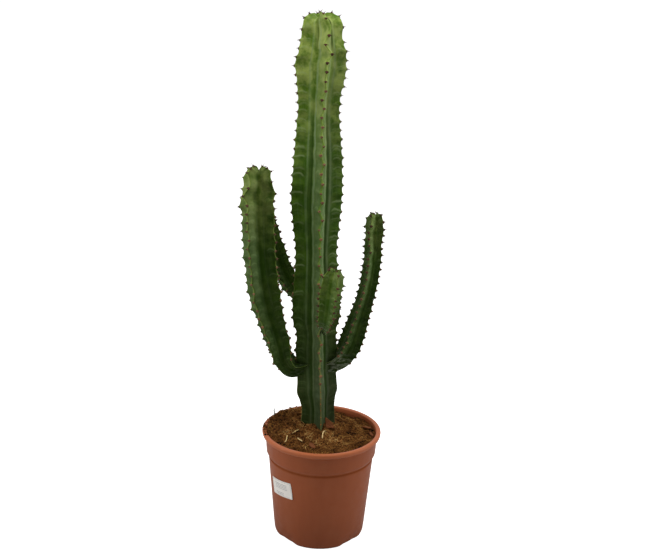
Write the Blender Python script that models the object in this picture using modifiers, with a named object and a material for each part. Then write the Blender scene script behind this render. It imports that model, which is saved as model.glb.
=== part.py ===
"""Potted candelabra euphorbia: a four-ribbed plant with four arms in a plastic nursery pot.

Metres, +Z up. The origin is the centre of the pot's flat base, and -Y is the front.
"""
import math

import bmesh
import bpy
from mathutils import Vector
from mathutils.bvhtree import BVHTree

OBJECT_NAME = "potted_candelabra_euphorbia"
GAP = 0.0003
SEGMENTS = 48

# Pot
POT_HEIGHT = 0.193
RIM_RADIUS = 0.105
LIP_HEIGHT = 0.009
LIP_ROUND = 0.003
COLLAR_RADIUS_TOP = 0.0985
COLLAR_RADIUS_LOW = 0.0970
COLLAR_DEPTH = 0.040
STEP_HEIGHT = 0.006
BODY_RADIUS_TOP = 0.0938
BODY_RADIUS_LOW = 0.0807
BASE_ROUND = 0.006
WALL = 0.0016
FLOOR = 0.0024
DRAIN_COUNT = 8
DRAIN_DIAMETER = 0.011
DRAIN_CIRCLE = 0.105
DRAIN_SEGMENTS = 12
DENT_DEPTH = 0.0040
DENT_ANGLES = (45, 135, 225, 315)
DENT_HALF_ANGLE = 20
DENT_HEIGHT = 0.014

# Soil
SOIL_EDGE_HEIGHT = 0.1847
SOIL_MOUND_HEIGHT = 0.0170
SOIL_MOUND_SPREAD = 0.055
SOIL_BACK_LEFT_RISE = 0.0115
SOIL_RISE_ANGLE = 155
SOIL_LUMP = 0.0009
SOIL_WAVES = ((310, 90, 0.4), (-120, 270, 2.1), (190, -250, 4.0))
SOIL_RINGS = 11

# Label
LABEL_WIDTH = 0.0515
LABEL_HEIGHT = 0.030
LABEL_THICKNESS = 0.0004
LABEL_GAP = 0.0005
LABEL_ANGLE = 222.5
LABEL_MIDDLE_HEIGHT = 0.1063
LABEL_TILT = 7
LABEL_COLUMNS = 8
LABEL_ROWS = 3

# Stems: each section is the centre of the stem and the radius to its rib crests
RIBS = 4
SAMPLES_PER_SECTION = 24
STEM_FOOT = 0.120
STEM_HOLE_SCALE = 1.035
LEAN = 1.66
LEAN_FROM = 0.200
TRUNK = (
    (-0.0068, 0.013, 0.120, 0.0308),
    (-0.0068, 0.013, 0.160, 0.0308),
    (-0.0068, 0.013, 0.200, 0.0306),
    (-0.0064, 0.013, 0.226, 0.0294),
    (-0.0072, 0.013, 0.245, 0.0322),
    (-0.0078, 0.013, 0.259, 0.0362),
    (-0.0080, 0.012, 0.279, 0.0350),
    (-0.0089, 0.012, 0.302, 0.0350),
    (-0.0089, 0.012, 0.3365, 0.0370),
    (-0.0087, 0.011, 0.368, 0.0350),
    (-0.0087, 0.011, 0.387, 0.0406),
    (-0.0082, 0.011, 0.419, 0.0420),
    (-0.0082, 0.010, 0.453, 0.0392),
    (-0.0082, 0.010, 0.487, 0.0366),
    (-0.0080, 0.010, 0.5185, 0.0358),
    (-0.0076, 0.009, 0.5595, 0.0398),
    (-0.0070, 0.009, 0.600, 0.0430),
    (-0.0050, 0.008, 0.640, 0.0420),
    (-0.0040, 0.008, 0.6795, 0.0396),
    (-0.0036, 0.007, 0.717, 0.0362),
    (-0.0024, 0.007, 0.7545, 0.0342),
    (0.0000, 0.006, 0.792, 0.0392),
    (0.0016, 0.006, 0.8165, 0.0424),
    (0.0030, 0.006, 0.839, 0.0382),
    (0.0038, 0.006, 0.8565, 0.0346),
    (0.0030, 0.006, 0.8725, 0.0338),
)
LEFT_ARM = (
    (-0.0220, 0.009, 0.3090, 0.0115),
    (-0.0380, 0.005, 0.3055, 0.0148),
    (-0.0515, 0.002, 0.3075, 0.0186),
    (-0.0618, -0.001, 0.319, 0.0196),
    (-0.0700, -0.004, 0.3355, 0.0232),
    (-0.0770, -0.008, 0.3635, 0.0258),
    (-0.0845, -0.011, 0.3925, 0.0272),
    (-0.0910, -0.012, 0.4185, 0.0302),
    (-0.0960, -0.013, 0.4475, 0.0322),
    (-0.0995, -0.014, 0.4825, 0.0310),
    (-0.1020, -0.014, 0.5175, 0.0318),
    (-0.1030, -0.014, 0.567, 0.0314),
    (-0.1030, -0.013, 0.605, 0.0332),
    (-0.1015, -0.012, 0.6245, 0.0298),
    (-0.1005, -0.012, 0.6395, 0.0276),
)
RIGHT_ARM = (
    (0.0060, 0.016, 0.304, 0.0130),
    (0.0240, 0.018, 0.3105, 0.0170),
    (0.0372, 0.022, 0.3205, 0.0198),
    (0.0475, 0.026, 0.336, 0.0214),
    (0.0545, 0.029, 0.353, 0.0214),
    (0.0600, 0.030, 0.370, 0.0206),
    (0.0660, 0.031, 0.389, 0.0188),
    (0.0730, 0.031, 0.412, 0.0170),
    (0.0800, 0.031, 0.440, 0.0164),
    (0.0842, 0.031, 0.464, 0.0166),
    (0.0875, 0.031, 0.490, 0.0164),
    (0.0892, 0.031, 0.521, 0.0162),
    (0.0905, 0.031, 0.546, 0.0176),
    (0.0922, 0.031, 0.5615, 0.0162),
)
FRONT_ARM = (
    (0.0020, -0.006, 0.375, 0.0075),
    (0.0060, -0.022, 0.3865, 0.0112),
    (0.0090, -0.034, 0.400, 0.0146),
    (0.0122, -0.043, 0.4185, 0.0180),
    (0.0152, -0.049, 0.442, 0.0198),
    (0.0178, -0.053, 0.4625, 0.0210),
    (0.0196, -0.055, 0.475, 0.0196),
    (0.0212, -0.056, 0.4825, 0.0165),
)
BACK_ARM = (
    (-0.0135, 0.024, 0.4045, 0.0080),
    (-0.0215, 0.044, 0.4085, 0.0120),
    (-0.0345, 0.055, 0.4185, 0.0162),
    (-0.0505, 0.061, 0.435, 0.0196),
    (-0.0630, 0.064, 0.455, 0.0210),
    (-0.0740, 0.066, 0.479, 0.0206),
    (-0.0850, 0.066, 0.512, 0.0206),
    (-0.0945, 0.066, 0.5445, 0.0198),
    (-0.0995, 0.066, 0.5655, 0.0180),
)

# Rib section, as shares of the crest radius, on green growth and on the rounded foot of the trunk
FLANK_SHARE = 0.62
FLANK_ANGLE = 14
VALLEY_SHARE = 0.50
FOOT_FLANK_SHARE = 0.65
FOOT_FLANK_ANGLE = 18
FOOT_VALLEY_SHARE = 0.58
FOOT_FADE = 0.100

# Margins and tips
TOOTH = 0.0010
NOTCH = 0.0007
ZIGZAG_SHARE = 0.05
PLAIN_PITCH = 0.016
ROOT_TURN = (0.030, 0.090)
WAVE_LENGTH = 0.043
PITCH_STRETCH = 0.18
FLANK_FOLLOW = 0.35
TOOTH_START = 0.012
WAVE_START = 0.030
WAVE_LOW_SHARE = 0.22
WAVE_NEAR_TIP = (0.020, 0.110)
WAVE_STEP_PER_RIB = 1.9
TIP_TURN_FROM = 0.8
TIP_PEAK_SHARE = 0.36
TIP_DIMPLE_SHARE = 0.16
TIP_FLANK_TURN = 14

# Spines
SPINE_LENGTH = 0.0032
OLD_SPINE_LENGTH = 0.0024
YOUNG_GROWTH = (0.04, 0.16)
SPINE_BASE = 0.0017
SPINE_SPLAY = 0.62
SPINE_DROOP = 0.12

# How each stem grows: its ribs' turn at the root, along it and at the tip, the gap between teeth, how
# far the margins wave, the bare length at the root, where the rounded foot and the old growth end, and
# the dome of the tip
TRUNK_GROWTH = {"root_phase": 11, "phase": 11, "tip_phase": 17, "pitch": 0.0130, "wave": 0.0060,
                "bare": 0.165, "foot": 0.220, "old_growth": 0.420, "tip_rise": 0.62, "tip_rows": 3}
LEFT_GROWTH = {"root_phase": -55, "phase": -27, "tip_phase": -31, "pitch": 0.0125, "wave": 0.0035,
               "bare": 0.046, "foot": 0.0, "old_growth": 0.120, "tip_rise": 0.62, "tip_rows": 3}
RIGHT_GROWTH = {"root_phase": -24, "phase": -24, "tip_phase": -31, "pitch": 0.0105, "wave": 0.0020,
                "bare": 0.030, "foot": 0.0, "old_growth": 0.100, "tip_rise": 0.70, "tip_rows": 2}
FRONT_GROWTH = {"root_phase": 26, "phase": 26, "tip_phase": 26, "pitch": 0.0095, "wave": 0.0015,
                "bare": 0.028, "foot": 0.0, "old_growth": 0.000, "tip_rise": 0.85, "tip_rows": 2}
BACK_GROWTH = {"root_phase": -25, "phase": -25, "tip_phase": -25, "pitch": 0.0105, "wave": 0.0020,
               "bare": 0.032, "foot": 0.0, "old_growth": 0.000, "tip_rise": 0.70, "tip_rows": 2}
ARMS = (
    ("left_arm", LEFT_ARM, LEFT_GROWTH),
    ("right_arm", RIGHT_ARM, RIGHT_GROWTH),
    ("front_arm", FRONT_ARM, FRONT_GROWTH),
    ("back_arm", BACK_ARM, BACK_GROWTH),
)

# Bark chips: place on the soil, length, width and turn in degrees
CHIP_THICKNESS = 0.0022
CHIPS = (
    (0.0885, -0.0080, 0.017, 0.0060, 104),
    (0.0820, 0.0180, 0.020, 0.0070, 2),
    (-0.0148, -0.0690, 0.029, 0.0088, 105),
)
CHIP_OUTLINE = ((-0.5, -0.15), (-0.2, -0.5), (0.3, -0.42), (0.5, 0.05), (0.15, 0.5), (-0.35, 0.36))
LEANING_CHIP_OUTLINE = ((-0.5, 0.0), (0.5, 0.0), (0.12, 0.55), (-0.56, 1.0), (-0.62, 0.9))
LEANING_CHIP_PLACE = (0.0160, -0.0125)
LEANING_CHIP_SIZE = (0.016, 0.020)
LEANING_CHIP_LEAN = 46
STRAW_DIAMETER = 0.0012
STRAWS = (
    ((-0.0525, -0.0295), (-0.0475, -0.0255), (-0.0442, -0.0200), (-0.0400, -0.0165)),
    ((-0.0622, -0.0540), (-0.0600, -0.0500), (-0.0591, -0.0405), (-0.0588, -0.0340)),
    ((-0.0403, -0.0411), (-0.0370, -0.0442), (-0.0325, -0.0483)),
    ((0.0023, -0.0380), (0.0028, -0.0285), (0.0036, -0.0222), (0.0068, -0.0212)),
)


def clear_scene():
    """Start from an empty scene."""
    for leftover in list(bpy.data.objects):
        bpy.data.objects.remove(leftover, do_unlink=True)


def new_collection(name):
    """A collection linked to the scene."""
    collection = bpy.data.collections.new(name)
    bpy.context.scene.collection.children.link(collection)
    return collection


def plain_material(name, colour, roughness):
    """A Principled material with one colour."""
    finish = bpy.data.materials.new(name)
    finish.use_nodes = True
    shader = finish.node_tree.nodes["Principled BSDF"]
    shader.inputs["Base Color"].default_value = (*colour, 1.0)
    shader.inputs["Roughness"].default_value = roughness
    shader.inputs["Metallic"].default_value = 0.0
    return finish


def add_object(name, data, collection, finish):
    """An object that shows this data in the collection."""
    thing = bpy.data.objects.new(name, data)
    if finish is not None:
        data.materials.append(finish)
    collection.objects.link(thing)
    return thing


def mesh_from(name, points, faces):
    """A mesh of these points and faces, with the faces turned outwards."""
    mesh = bpy.data.meshes.new(name)
    mesh.from_pydata([tuple(point) for point in points], [], faces)
    shell = bmesh.new()
    shell.from_mesh(mesh)
    bmesh.ops.recalc_face_normals(shell, faces=shell.faces)
    shell.to_mesh(mesh)
    shell.free()
    return mesh


def smoothstep(low, high, value):
    """0 below low, 1 above high, and a smooth rise between."""
    share = min(1.0, max(0.0, (value - low) / (high - low)))
    return share * share * (3.0 - 2.0 * share)


def arc(centre, radius, start, end, steps):
    """Points of a profile on an arc, angles in degrees."""
    points = []
    for step in range(steps + 1):
        angle = math.radians(start + (end - start) * step / steps)
        points.append((centre[0] + radius * math.cos(angle), centre[1] + radius * math.sin(angle)))
    return points


def pot_outer_radius(height):
    """The outer radius of the pot's body under its collar."""
    share = height / (POT_HEIGHT - COLLAR_DEPTH)
    return BODY_RADIUS_LOW + (BODY_RADIUS_TOP - BODY_RADIUS_LOW) * share


def pot_inner_radius(height):
    """The inner radius of the pot at a height."""
    step_top = POT_HEIGHT - COLLAR_DEPTH
    step_low = step_top - STEP_HEIGHT
    if height <= step_low:
        return pot_outer_radius(height) - WALL
    if height >= step_top:
        share = (height - step_top) / COLLAR_DEPTH
        return COLLAR_RADIUS_LOW + (COLLAR_RADIUS_TOP - COLLAR_RADIUS_LOW) * share - WALL
    share = (height - step_low) / STEP_HEIGHT
    low = pot_outer_radius(step_low) - WALL
    high = COLLAR_RADIUS_LOW - WALL
    return low + (high - low) * share


def screw(name, profile, collection, finish):
    """A turned object from a profile of (radius, height) points."""
    mesh = bpy.data.meshes.new(name)
    edges = [(index, index + 1) for index in range(len(profile) - 1)]
    mesh.from_pydata([(radius, 0.0, height) for radius, height in profile], edges, [])
    thing = add_object(name, mesh, collection, finish)
    turn = thing.modifiers.new("Turn", "SCREW")
    turn.angle = math.tau
    turn.axis = "Z"
    turn.steps = SEGMENTS
    turn.render_steps = SEGMENTS
    turn.use_merge_vertices = True
    turn.merge_threshold = 0.0001
    return thing


def freeze(thing):
    """Replace an object's modifiers with their result."""
    graph = bpy.context.evaluated_depsgraph_get()
    mesh = bpy.data.meshes.new_from_object(thing.evaluated_get(graph))
    thing.modifiers.clear()
    thing.data = mesh
    return mesh


def cut(thing, cutters, name):
    """Take the cutters in a collection away from an object."""
    difference = thing.modifiers.new(name, "BOOLEAN")
    difference.operation = "DIFFERENCE"
    difference.operand_type = "COLLECTION"
    difference.collection = cutters
    difference.solver = "EXACT"


def hide_cutter(thing):
    """A cutter shapes other parts and isn't one itself."""
    thing.hide_render = True
    thing.display_type = "WIRE"


def pot_profile():
    """The pot's section, from the floor's middle up the inside and down the outside."""
    step_top = POT_HEIGHT - COLLAR_DEPTH
    step_low = step_top - STEP_HEIGHT
    inner_round = BASE_ROUND - WALL
    inner_corner = (pot_inner_radius(FLOOR) - inner_round, FLOOR + inner_round)
    rim_inner = pot_inner_radius(POT_HEIGHT)
    lip_foot = POT_HEIGHT - LIP_HEIGHT
    base_corner = (pot_outer_radius(0.0) - BASE_ROUND, BASE_ROUND)
    profile = [(0.0, FLOOR)]
    profile += arc(inner_corner, inner_round, -90, 0, 2)
    profile += [(pot_inner_radius(DENT_HEIGHT), DENT_HEIGHT + 0.002)]
    profile += [(pot_inner_radius(step_low), step_low), (pot_inner_radius(step_top), step_top)]
    profile += [(rim_inner, POT_HEIGHT - 0.004), (rim_inner + 0.0015, POT_HEIGHT - 0.0006)]
    profile += arc((RIM_RADIUS - LIP_ROUND, POT_HEIGHT - LIP_ROUND), LIP_ROUND, 90, 0, 3)
    profile += [(RIM_RADIUS - 0.0004, lip_foot + 0.002), (RIM_RADIUS - 0.0025, lip_foot)]
    profile += [(COLLAR_RADIUS_TOP + 0.0008, lip_foot - 0.0015), (COLLAR_RADIUS_TOP, lip_foot - 0.006)]
    profile += [(COLLAR_RADIUS_LOW, step_top), (pot_outer_radius(step_low), step_low)]
    profile += [(pot_outer_radius(DENT_HEIGHT), DENT_HEIGHT + 0.002)]
    profile += arc(base_corner, BASE_ROUND, 0, -90, 4)
    profile += [(0.0, 0.0)]
    return profile


def dent_base(mesh):
    """Press four shallow recesses into the pot's base edge, through the whole wall."""
    for vertex in mesh.vertices:
        radius = math.hypot(vertex.co.x, vertex.co.y)
        if radius < BODY_RADIUS_LOW * 0.8 or vertex.co.z > DENT_HEIGHT:
            continue
        angle = math.degrees(math.atan2(vertex.co.y, vertex.co.x)) % 360
        away = min(abs(angle - middle) for middle in DENT_ANGLES)
        depth = DENT_DEPTH * (1.0 - smoothstep(0.3, 1.0, away / DENT_HALF_ANGLE))
        shrink = 1.0 - depth / radius
        vertex.co.x *= shrink
        vertex.co.y *= shrink


def make_pot(collection, cutters):
    """The nursery pot with its drain holes."""
    finish = plain_material("terracotta_plastic", (0.185, 0.048, 0.018), 0.42)
    pot = screw("pot", pot_profile(), collection, finish)
    dent_base(freeze(pot))
    drains = bpy.data.collections.new("drain_cutters")
    cutters.children.link(drains)
    for index in range(DRAIN_COUNT):
        angle = math.tau * (index + 0.5) / DRAIN_COUNT
        drill = bmesh.new()
        bmesh.ops.create_cone(drill, cap_ends=True, segments=DRAIN_SEGMENTS, depth=4 * FLOOR,
                              radius1=DRAIN_DIAMETER / 2, radius2=DRAIN_DIAMETER / 2)
        mesh = bpy.data.meshes.new("drain")
        drill.to_mesh(mesh)
        drill.free()
        drain = add_object(f"drain_cutter_{index + 1}", mesh, drains, None)
        drain.location = (DRAIN_CIRCLE / 2 * math.cos(angle), DRAIN_CIRCLE / 2 * math.sin(angle), 0.0)
        hide_cutter(drain)
    cut(pot, drains, "Drain holes")
    pot.data.shade_smooth()
    pot.data.set_sharp_from_angle(angle=math.radians(35))
    return pot


def soil_height(x, y):
    """The height of the soil's surface, by formula."""
    foot = TRUNK[0]
    away = math.hypot(x - foot[0], y - foot[1])
    mound = SOIL_MOUND_HEIGHT * math.exp(-(away / SOIL_MOUND_SPREAD) ** 2)
    reach = math.hypot(x, y) / COLLAR_RADIUS_TOP
    turned = math.cos(math.atan2(y, x) - math.radians(SOIL_RISE_ANGLE)) if reach > 0 else 0.0
    rise = SOIL_BACK_LEFT_RISE * reach * reach * max(0.0, turned) ** 1.2
    lumps = sum(math.sin(a * x + b * y + start) for a, b, start in SOIL_WAVES)
    return SOIL_EDGE_HEIGHT + mound + rise + SOIL_LUMP * lumps


def make_soil(collection, cutters):
    """The root ball, clear of the pot all round, with the stem's hole."""
    finish = plain_material("peat_and_coir", (0.085, 0.042, 0.016), 0.95)
    step_top = POT_HEIGHT - COLLAR_DEPTH
    step_low = step_top - STEP_HEIGHT
    clear = 2 * GAP
    foot_height = FLOOR + GAP
    corner = BASE_ROUND - WALL + 0.001
    edge = pot_inner_radius(SOIL_EDGE_HEIGHT) - clear
    profile = [(edge * ring / SOIL_RINGS, POT_HEIGHT) for ring in range(SOIL_RINGS + 1)]
    profile += [(edge, SOIL_EDGE_HEIGHT - 0.008)]
    profile += [(pot_inner_radius(step_top) - clear, step_top)]
    profile += [(pot_inner_radius(step_low) - clear, step_low)]
    profile += [(pot_inner_radius(DENT_HEIGHT) - clear, DENT_HEIGHT + 0.003)]
    low_radius = pot_inner_radius(0.0) - DENT_DEPTH - clear
    profile += [(low_radius, FLOOR + corner), (low_radius - corner, foot_height), (0.0, foot_height)]
    soil = screw("soil", profile, collection, finish)
    mesh = freeze(soil)
    for vertex in mesh.vertices:
        if vertex.co.z > POT_HEIGHT - 0.001:
            vertex.co.z = soil_height(vertex.co.x, vertex.co.y)
    holes = bpy.data.collections.new("stem_hole_cutters")
    cutters.children.link(holes)
    hide_cutter(make_stem_hole(holes))
    cut(soil, holes, "Stem hole")
    soil.data.shade_flat()
    return soil


def leaned(section):
    """A section of the plant, which leans a little to the left from the soil up."""
    x, y, z, radius = section
    pivot = TRUNK[0][0]
    if z > LEAN_FROM:
        angle = math.radians(LEAN)
        away, up = x - pivot, z - LEAN_FROM
        x = pivot + away * math.cos(angle) - up * math.sin(angle)
        z = LEAN_FROM + up * math.cos(angle) + away * math.sin(angle)
    return Vector((x, y, z, radius))


def directions(frame, turn):
    """The directions outwards and sideways at a turn in degrees round a stem."""
    across, behind, along = frame
    angle = math.radians(turn)
    outward = math.cos(angle) * across + math.sin(angle) * behind
    sideways = math.cos(angle) * behind - math.sin(angle) * across
    return outward, sideways


def point_on(centre, frame, turn, out, up, shift):
    """A point at a turn in degrees round a stem, this far out, up and sideways."""
    outward, sideways = directions(frame, turn)
    return centre + out * outward + up * frame[2] + shift * sideways


def spline(knots, steps):
    """A smooth run through the knots, with this many steps between two of them."""
    ends = [2 * knots[0] - knots[1]] + knots + [2 * knots[-1] - knots[-2]]
    run = []
    for index in range(len(knots) - 1):
        before, start, end, after = ends[index:index + 4]
        for step in range(steps):
            t = step / steps
            line = 2 * start + (end - before) * t
            curve = (2 * before - 5 * start + 4 * end - after) * t * t
            bend = (3 * start - 3 * end + after - before) * t * t * t
            run.append((line + curve + bend) / 2)
    run.append(knots[-1])
    return run


class Stem:
    """A ribbed stem along a smooth line through its sections."""

    def __init__(self, sections, root_phase, phase, tip_phase, pitch, wave, bare, foot, old_growth,
                 tip_rise, tip_rows):
        self.root_phase = root_phase
        self.phase = phase
        self.tip_phase = tip_phase
        self.pitch = pitch
        self.wave = wave
        self.bare = bare
        self.foot = foot
        self.old_growth = old_growth
        self.tip_rise = tip_rise
        self.tip_rows = tip_rows
        self.samples = spline([leaned(section) for section in sections], SAMPLES_PER_SECTION)
        self.distances = [0.0]
        for before, after in zip(self.samples, self.samples[1:]):
            step = (after.xyz - before.xyz).length
            self.distances.append(self.distances[-1] + step)
        self.length = self.distances[-1]
        self.frames = self.carry_frames()

    def carry_frames(self):
        """Directions across the stem, carried from the tip down so that they don't twist."""
        tangents = []
        last = len(self.samples) - 1
        for index in range(last + 1):
            low = self.samples[max(0, index - 1)].xyz
            high = self.samples[min(last, index + 1)].xyz
            tangents.append((high - low).normalized())
        frames = [None] * (last + 1)
        across = Vector((1.0, 0.0, 0.0))
        for index in range(last, -1, -1):
            along = tangents[index]
            across = (across - across.dot(along) * along).normalized()
            frames[index] = (across.copy(), along.cross(across), along)
        return frames

    def at(self, distance):
        """The centre, the crest radius and the three directions at a distance from the root."""
        distance = min(max(distance, 0.0), self.length)
        index = 0
        while self.distances[index + 1] < distance:
            index += 1
        gap = self.distances[index + 1] - self.distances[index]
        share = (distance - self.distances[index]) / gap
        place = self.samples[index].lerp(self.samples[index + 1], share)
        across = self.frames[index][0].lerp(self.frames[index + 1][0], share).normalized()
        along = self.frames[index][2].lerp(self.frames[index + 1][2], share).normalized()
        return place.xyz, place.w, (across, along.cross(across), along)

    def rib_angle(self, distance, rib):
        """The direction of a rib in degrees, with the front at -90."""
        grown = smoothstep(*ROOT_TURN, distance)
        phase = self.root_phase + (self.phase - self.root_phase) * grown
        phase += (self.tip_phase - self.phase) * smoothstep(TIP_TURN_FROM, 1.0, distance / self.length)
        return -90 + phase + rib * 360 / RIBS

    def side_wave(self, distance, rib):
        """How far a rib's margin swings sideways, most near the tip."""
        grown = smoothstep(0.0, WAVE_START, distance - self.bare)
        near_tip = 1.0 - smoothstep(*WAVE_NEAR_TIP, self.length - distance)
        swing = self.wave * (WAVE_LOW_SHARE + (1.0 - WAVE_LOW_SHARE) * near_tip)
        return grown * swing * math.sin(math.tau * distance / WAVE_LENGTH + WAVE_STEP_PER_RIB * rib)

    def section(self, distance, tip_turn):
        """Where crest, flank and valley lie, as (out, up), along the stem or over its domed tip."""
        centre, radius, frame = self.at(distance)
        turn = math.radians(tip_turn)
        peak = TIP_PEAK_SHARE * radius
        rise = self.tip_rise * radius
        dimple = rise - TIP_DIMPLE_SHARE * radius
        rounded = self.roundness(distance)
        side = FLANK_SHARE + (FOOT_FLANK_SHARE - FLANK_SHARE) * rounded
        low = VALLEY_SHARE + (FOOT_VALLEY_SHARE - VALLEY_SHARE) * rounded
        crest = (peak + (radius - peak) * math.cos(turn), rise * math.sin(turn))
        flank = (side * radius * math.cos(0.8 * turn), dimple * math.sin(turn))
        valley = (low * radius * math.cos(0.9 * turn), dimple * math.sin(turn))
        return centre, frame, crest, flank, valley

    def roundness(self, distance):
        """1 on the rounded foot, 0 on the sharply ribbed growth above it."""
        return 1.0 - smoothstep(self.foot - FOOT_FADE, self.foot, distance)

    def row(self, distance, tip_turn, swell, zigzag):
        """One row round the stem: for each rib its crest, its two flanks and the valley after it."""
        centre, frame, crest, flank, valley = self.section(distance, tip_turn)
        along = frame[2]
        rise = math.radians(tip_turn)
        grown = smoothstep(0.0, TOOTH_START, distance - self.bare)
        spread = FLANK_ANGLE + (FOOT_FLANK_ANGLE - FLANK_ANGLE) * self.roundness(distance)
        spread += TIP_FLANK_TURN * tip_turn / 90
        ribs = []
        for rib in range(RIBS):
            angle = self.rib_angle(distance, rib)
            side = self.side_wave(distance + crest[1], rib) + grown * zigzag * crest[0]
            outward, sideways = directions(frame, angle)
            ribs.append({
                "crest": point_on(centre, frame, angle, crest[0] + grown * swell, crest[1], side),
                "left": point_on(centre, frame, angle - spread, *flank, FLANK_FOLLOW * side),
                "right": point_on(centre, frame, angle + spread, *flank, FLANK_FOLLOW * side),
                "valley": point_on(centre, frame, angle + 180 / RIBS, *valley, 0.0),
                "outward": math.cos(rise) * outward + math.sin(rise) * along,
                "sideways": sideways,
            })
        return {"distance": distance, "tip_turn": tip_turn, "ribs": ribs, "along": along}

    def tooth_rows(self):
        """The rows over the bare root, then through the teeth and over the tip."""
        plain = round(self.bare / PLAIN_PITCH)
        places = [(self.bare * step / plain, 0) for step in range(plain)]
        distance = self.bare
        while distance < self.length - 0.4 * self.pitch:
            places.append((distance, 0))
            middle = math.sin(math.pi * distance / self.length)
            distance += self.pitch * (1.0 + PITCH_STRETCH * middle)
        places += [(self.length, 90 * (step + 1) / self.tip_rows) for step in range(self.tip_rows)]
        return [self.row(distance, turn, TOOTH, ZIGZAG_SHARE * (-1) ** index)
                for index, (distance, turn) in enumerate(places)]

    def apex(self):
        """The growing point, sunk between the tops of the ribs."""
        centre, radius, frame = self.at(self.length)
        return centre + (self.tip_rise - TIP_DIMPLE_SHARE) * radius * frame[2]


class Loft:
    """Collects the points and faces of one stem, from its root to its growing point."""

    def __init__(self, stem, name):
        self.stem = stem
        self.points = []
        self.faces = []
        rows = stem.tooth_rows()
        rings = [self.add_row(row) for row in rows]
        self.close_root(rings[0])
        for index in range(len(rows) - 1):
            notch = self.notch_between(rows[index], rows[index + 1])
            self.join(rings[index], rings[index + 1], notch, rows[index], index)
        self.close_tip(rings[-1], rows[-1])
        self.mesh = mesh_from(name, self.points, self.faces)

    def add(self, point):
        """Keep a point and return its number."""
        self.points.append(point)
        return len(self.points) - 1

    def add_row(self, row):
        """Keep a row's points."""
        return [{part: self.add(rib[part]) for part in ("crest", "left", "right", "valley")}
                for rib in row["ribs"]]

    def notch_between(self, low, high):
        """The crest points halfway between two rows of teeth."""
        distance = (low["distance"] + high["distance"]) / 2
        turn = (low["tip_turn"] + high["tip_turn"]) / 2
        row = self.stem.row(distance, turn, -NOTCH, 0.0)
        return [self.add(rib["crest"]) for rib in row["ribs"]]

    def flank(self, tooth, above, row, rib, spined):
        """The two faces beside a tooth, one on each side of its crest, with a spine on each."""
        crest, left, right = tooth
        if not spined:
            self.faces += [(crest, right, above), (left, crest, above)]
            return
        start = self.points[crest]
        up = (self.points[above] - start).normalized()
        top = self.add(start + SPINE_BASE * up)
        for side, edge in ((1, right), (-1, left)):
            down = (self.points[edge] - start).normalized()
            foot = self.add(start + 0.4 * SPINE_BASE * up + 0.9 * SPINE_BASE * down)
            middle = (start + self.points[top] + self.points[foot]) / 3
            lean = row["ribs"][rib]["outward"] + side * SPINE_SPLAY * row["ribs"][rib]["sideways"]
            lean -= SPINE_DROOP * row["along"]
            point = self.add(middle + self.spine_length(row) * lean.normalized())
            around = [(crest, edge, foot), (foot, edge, top), (top, edge, above)]
            spine = [(crest, foot, point), (foot, top, point), (top, crest, point)]
            for face in around + spine:
                self.faces.append(face if side > 0 else face[::-1])

    def spine_length(self, row):
        """Spines are longest near the tip, where they are young."""
        young = 1.0 - smoothstep(*YOUNG_GROWTH, self.stem.length - row["distance"])
        return OLD_SPINE_LENGTH + (SPINE_LENGTH - OLD_SPINE_LENGTH) * young

    def has_spines(self, row, index, rib):
        """Spines at each tooth above the root, and at every second one on old growth."""
        if row["distance"] < self.stem.bare - 0.0001:
            return False
        if row["distance"] < self.stem.old_growth:
            return (index + rib) % 2 == 0
        return True

    def join(self, low, high, notch, row, index):
        """The faces between two rows of teeth."""
        for rib in range(RIBS):
            under, over, middle = low[rib], high[rib], notch[rib]
            after_under, after_over = low[(rib + 1) % RIBS], high[(rib + 1) % RIBS]
            tooth = (under["crest"], under["left"], under["right"])
            self.flank(tooth, middle, row, rib, self.has_spines(row, index, rib))
            self.faces += [(under["right"], over["right"], middle), (middle, over["right"], over["crest"])]
            self.faces += [(under["left"], middle, over["left"]), (over["left"], middle, over["crest"])]
            self.faces += [(under["right"], under["valley"], over["valley"])]
            self.faces += [(under["right"], over["valley"], over["right"])]
            self.faces += [(under["valley"], after_under["left"], after_over["left"])]
            self.faces += [(under["valley"], after_over["left"], over["valley"])]

    def close_root(self, ring):
        """The flat lower end."""
        outline = []
        for rib in ring:
            outline += [rib["left"], rib["crest"], rib["right"], rib["valley"]]
        self.faces.append(tuple(reversed(outline)))

    def close_tip(self, ring, row):
        """The faces from the last row of teeth to the growing point."""
        apex = self.add(self.stem.apex())
        for rib in range(RIBS):
            here, after = ring[rib], ring[(rib + 1) % RIBS]
            tooth = (here["crest"], here["left"], here["right"])
            self.flank(tooth, apex, row, rib, True)
            self.faces += [(here["right"], here["valley"], apex), (here["valley"], after["left"], apex)]


def make_stem_hole(holes):
    """A prism of the buried stem's section, a little larger all round."""
    root = Stem(TRUNK, **TRUNK_GROWTH).tooth_rows()[0]
    foot = Vector(TRUNK[0][:3])
    outline = []
    for rib in root["ribs"]:
        outline += [rib["left"], rib["crest"], rib["right"], rib["valley"]]
    wide = [foot + STEM_HOLE_SCALE * (point - foot) for point in outline]
    low = [Vector((point.x, point.y, STEM_FOOT - GAP)) for point in wide]
    high = [Vector((point.x, point.y, POT_HEIGHT + 0.05)) for point in wide]
    count = len(wide)
    faces = [tuple(range(count)), tuple(range(count, 2 * count))]
    faces += [(index, (index + 1) % count, count + (index + 1) % count, count + index)
              for index in range(count)]
    return add_object("stem_hole_cutter", mesh_from("stem_hole", low + high, faces), holes, None)


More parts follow.
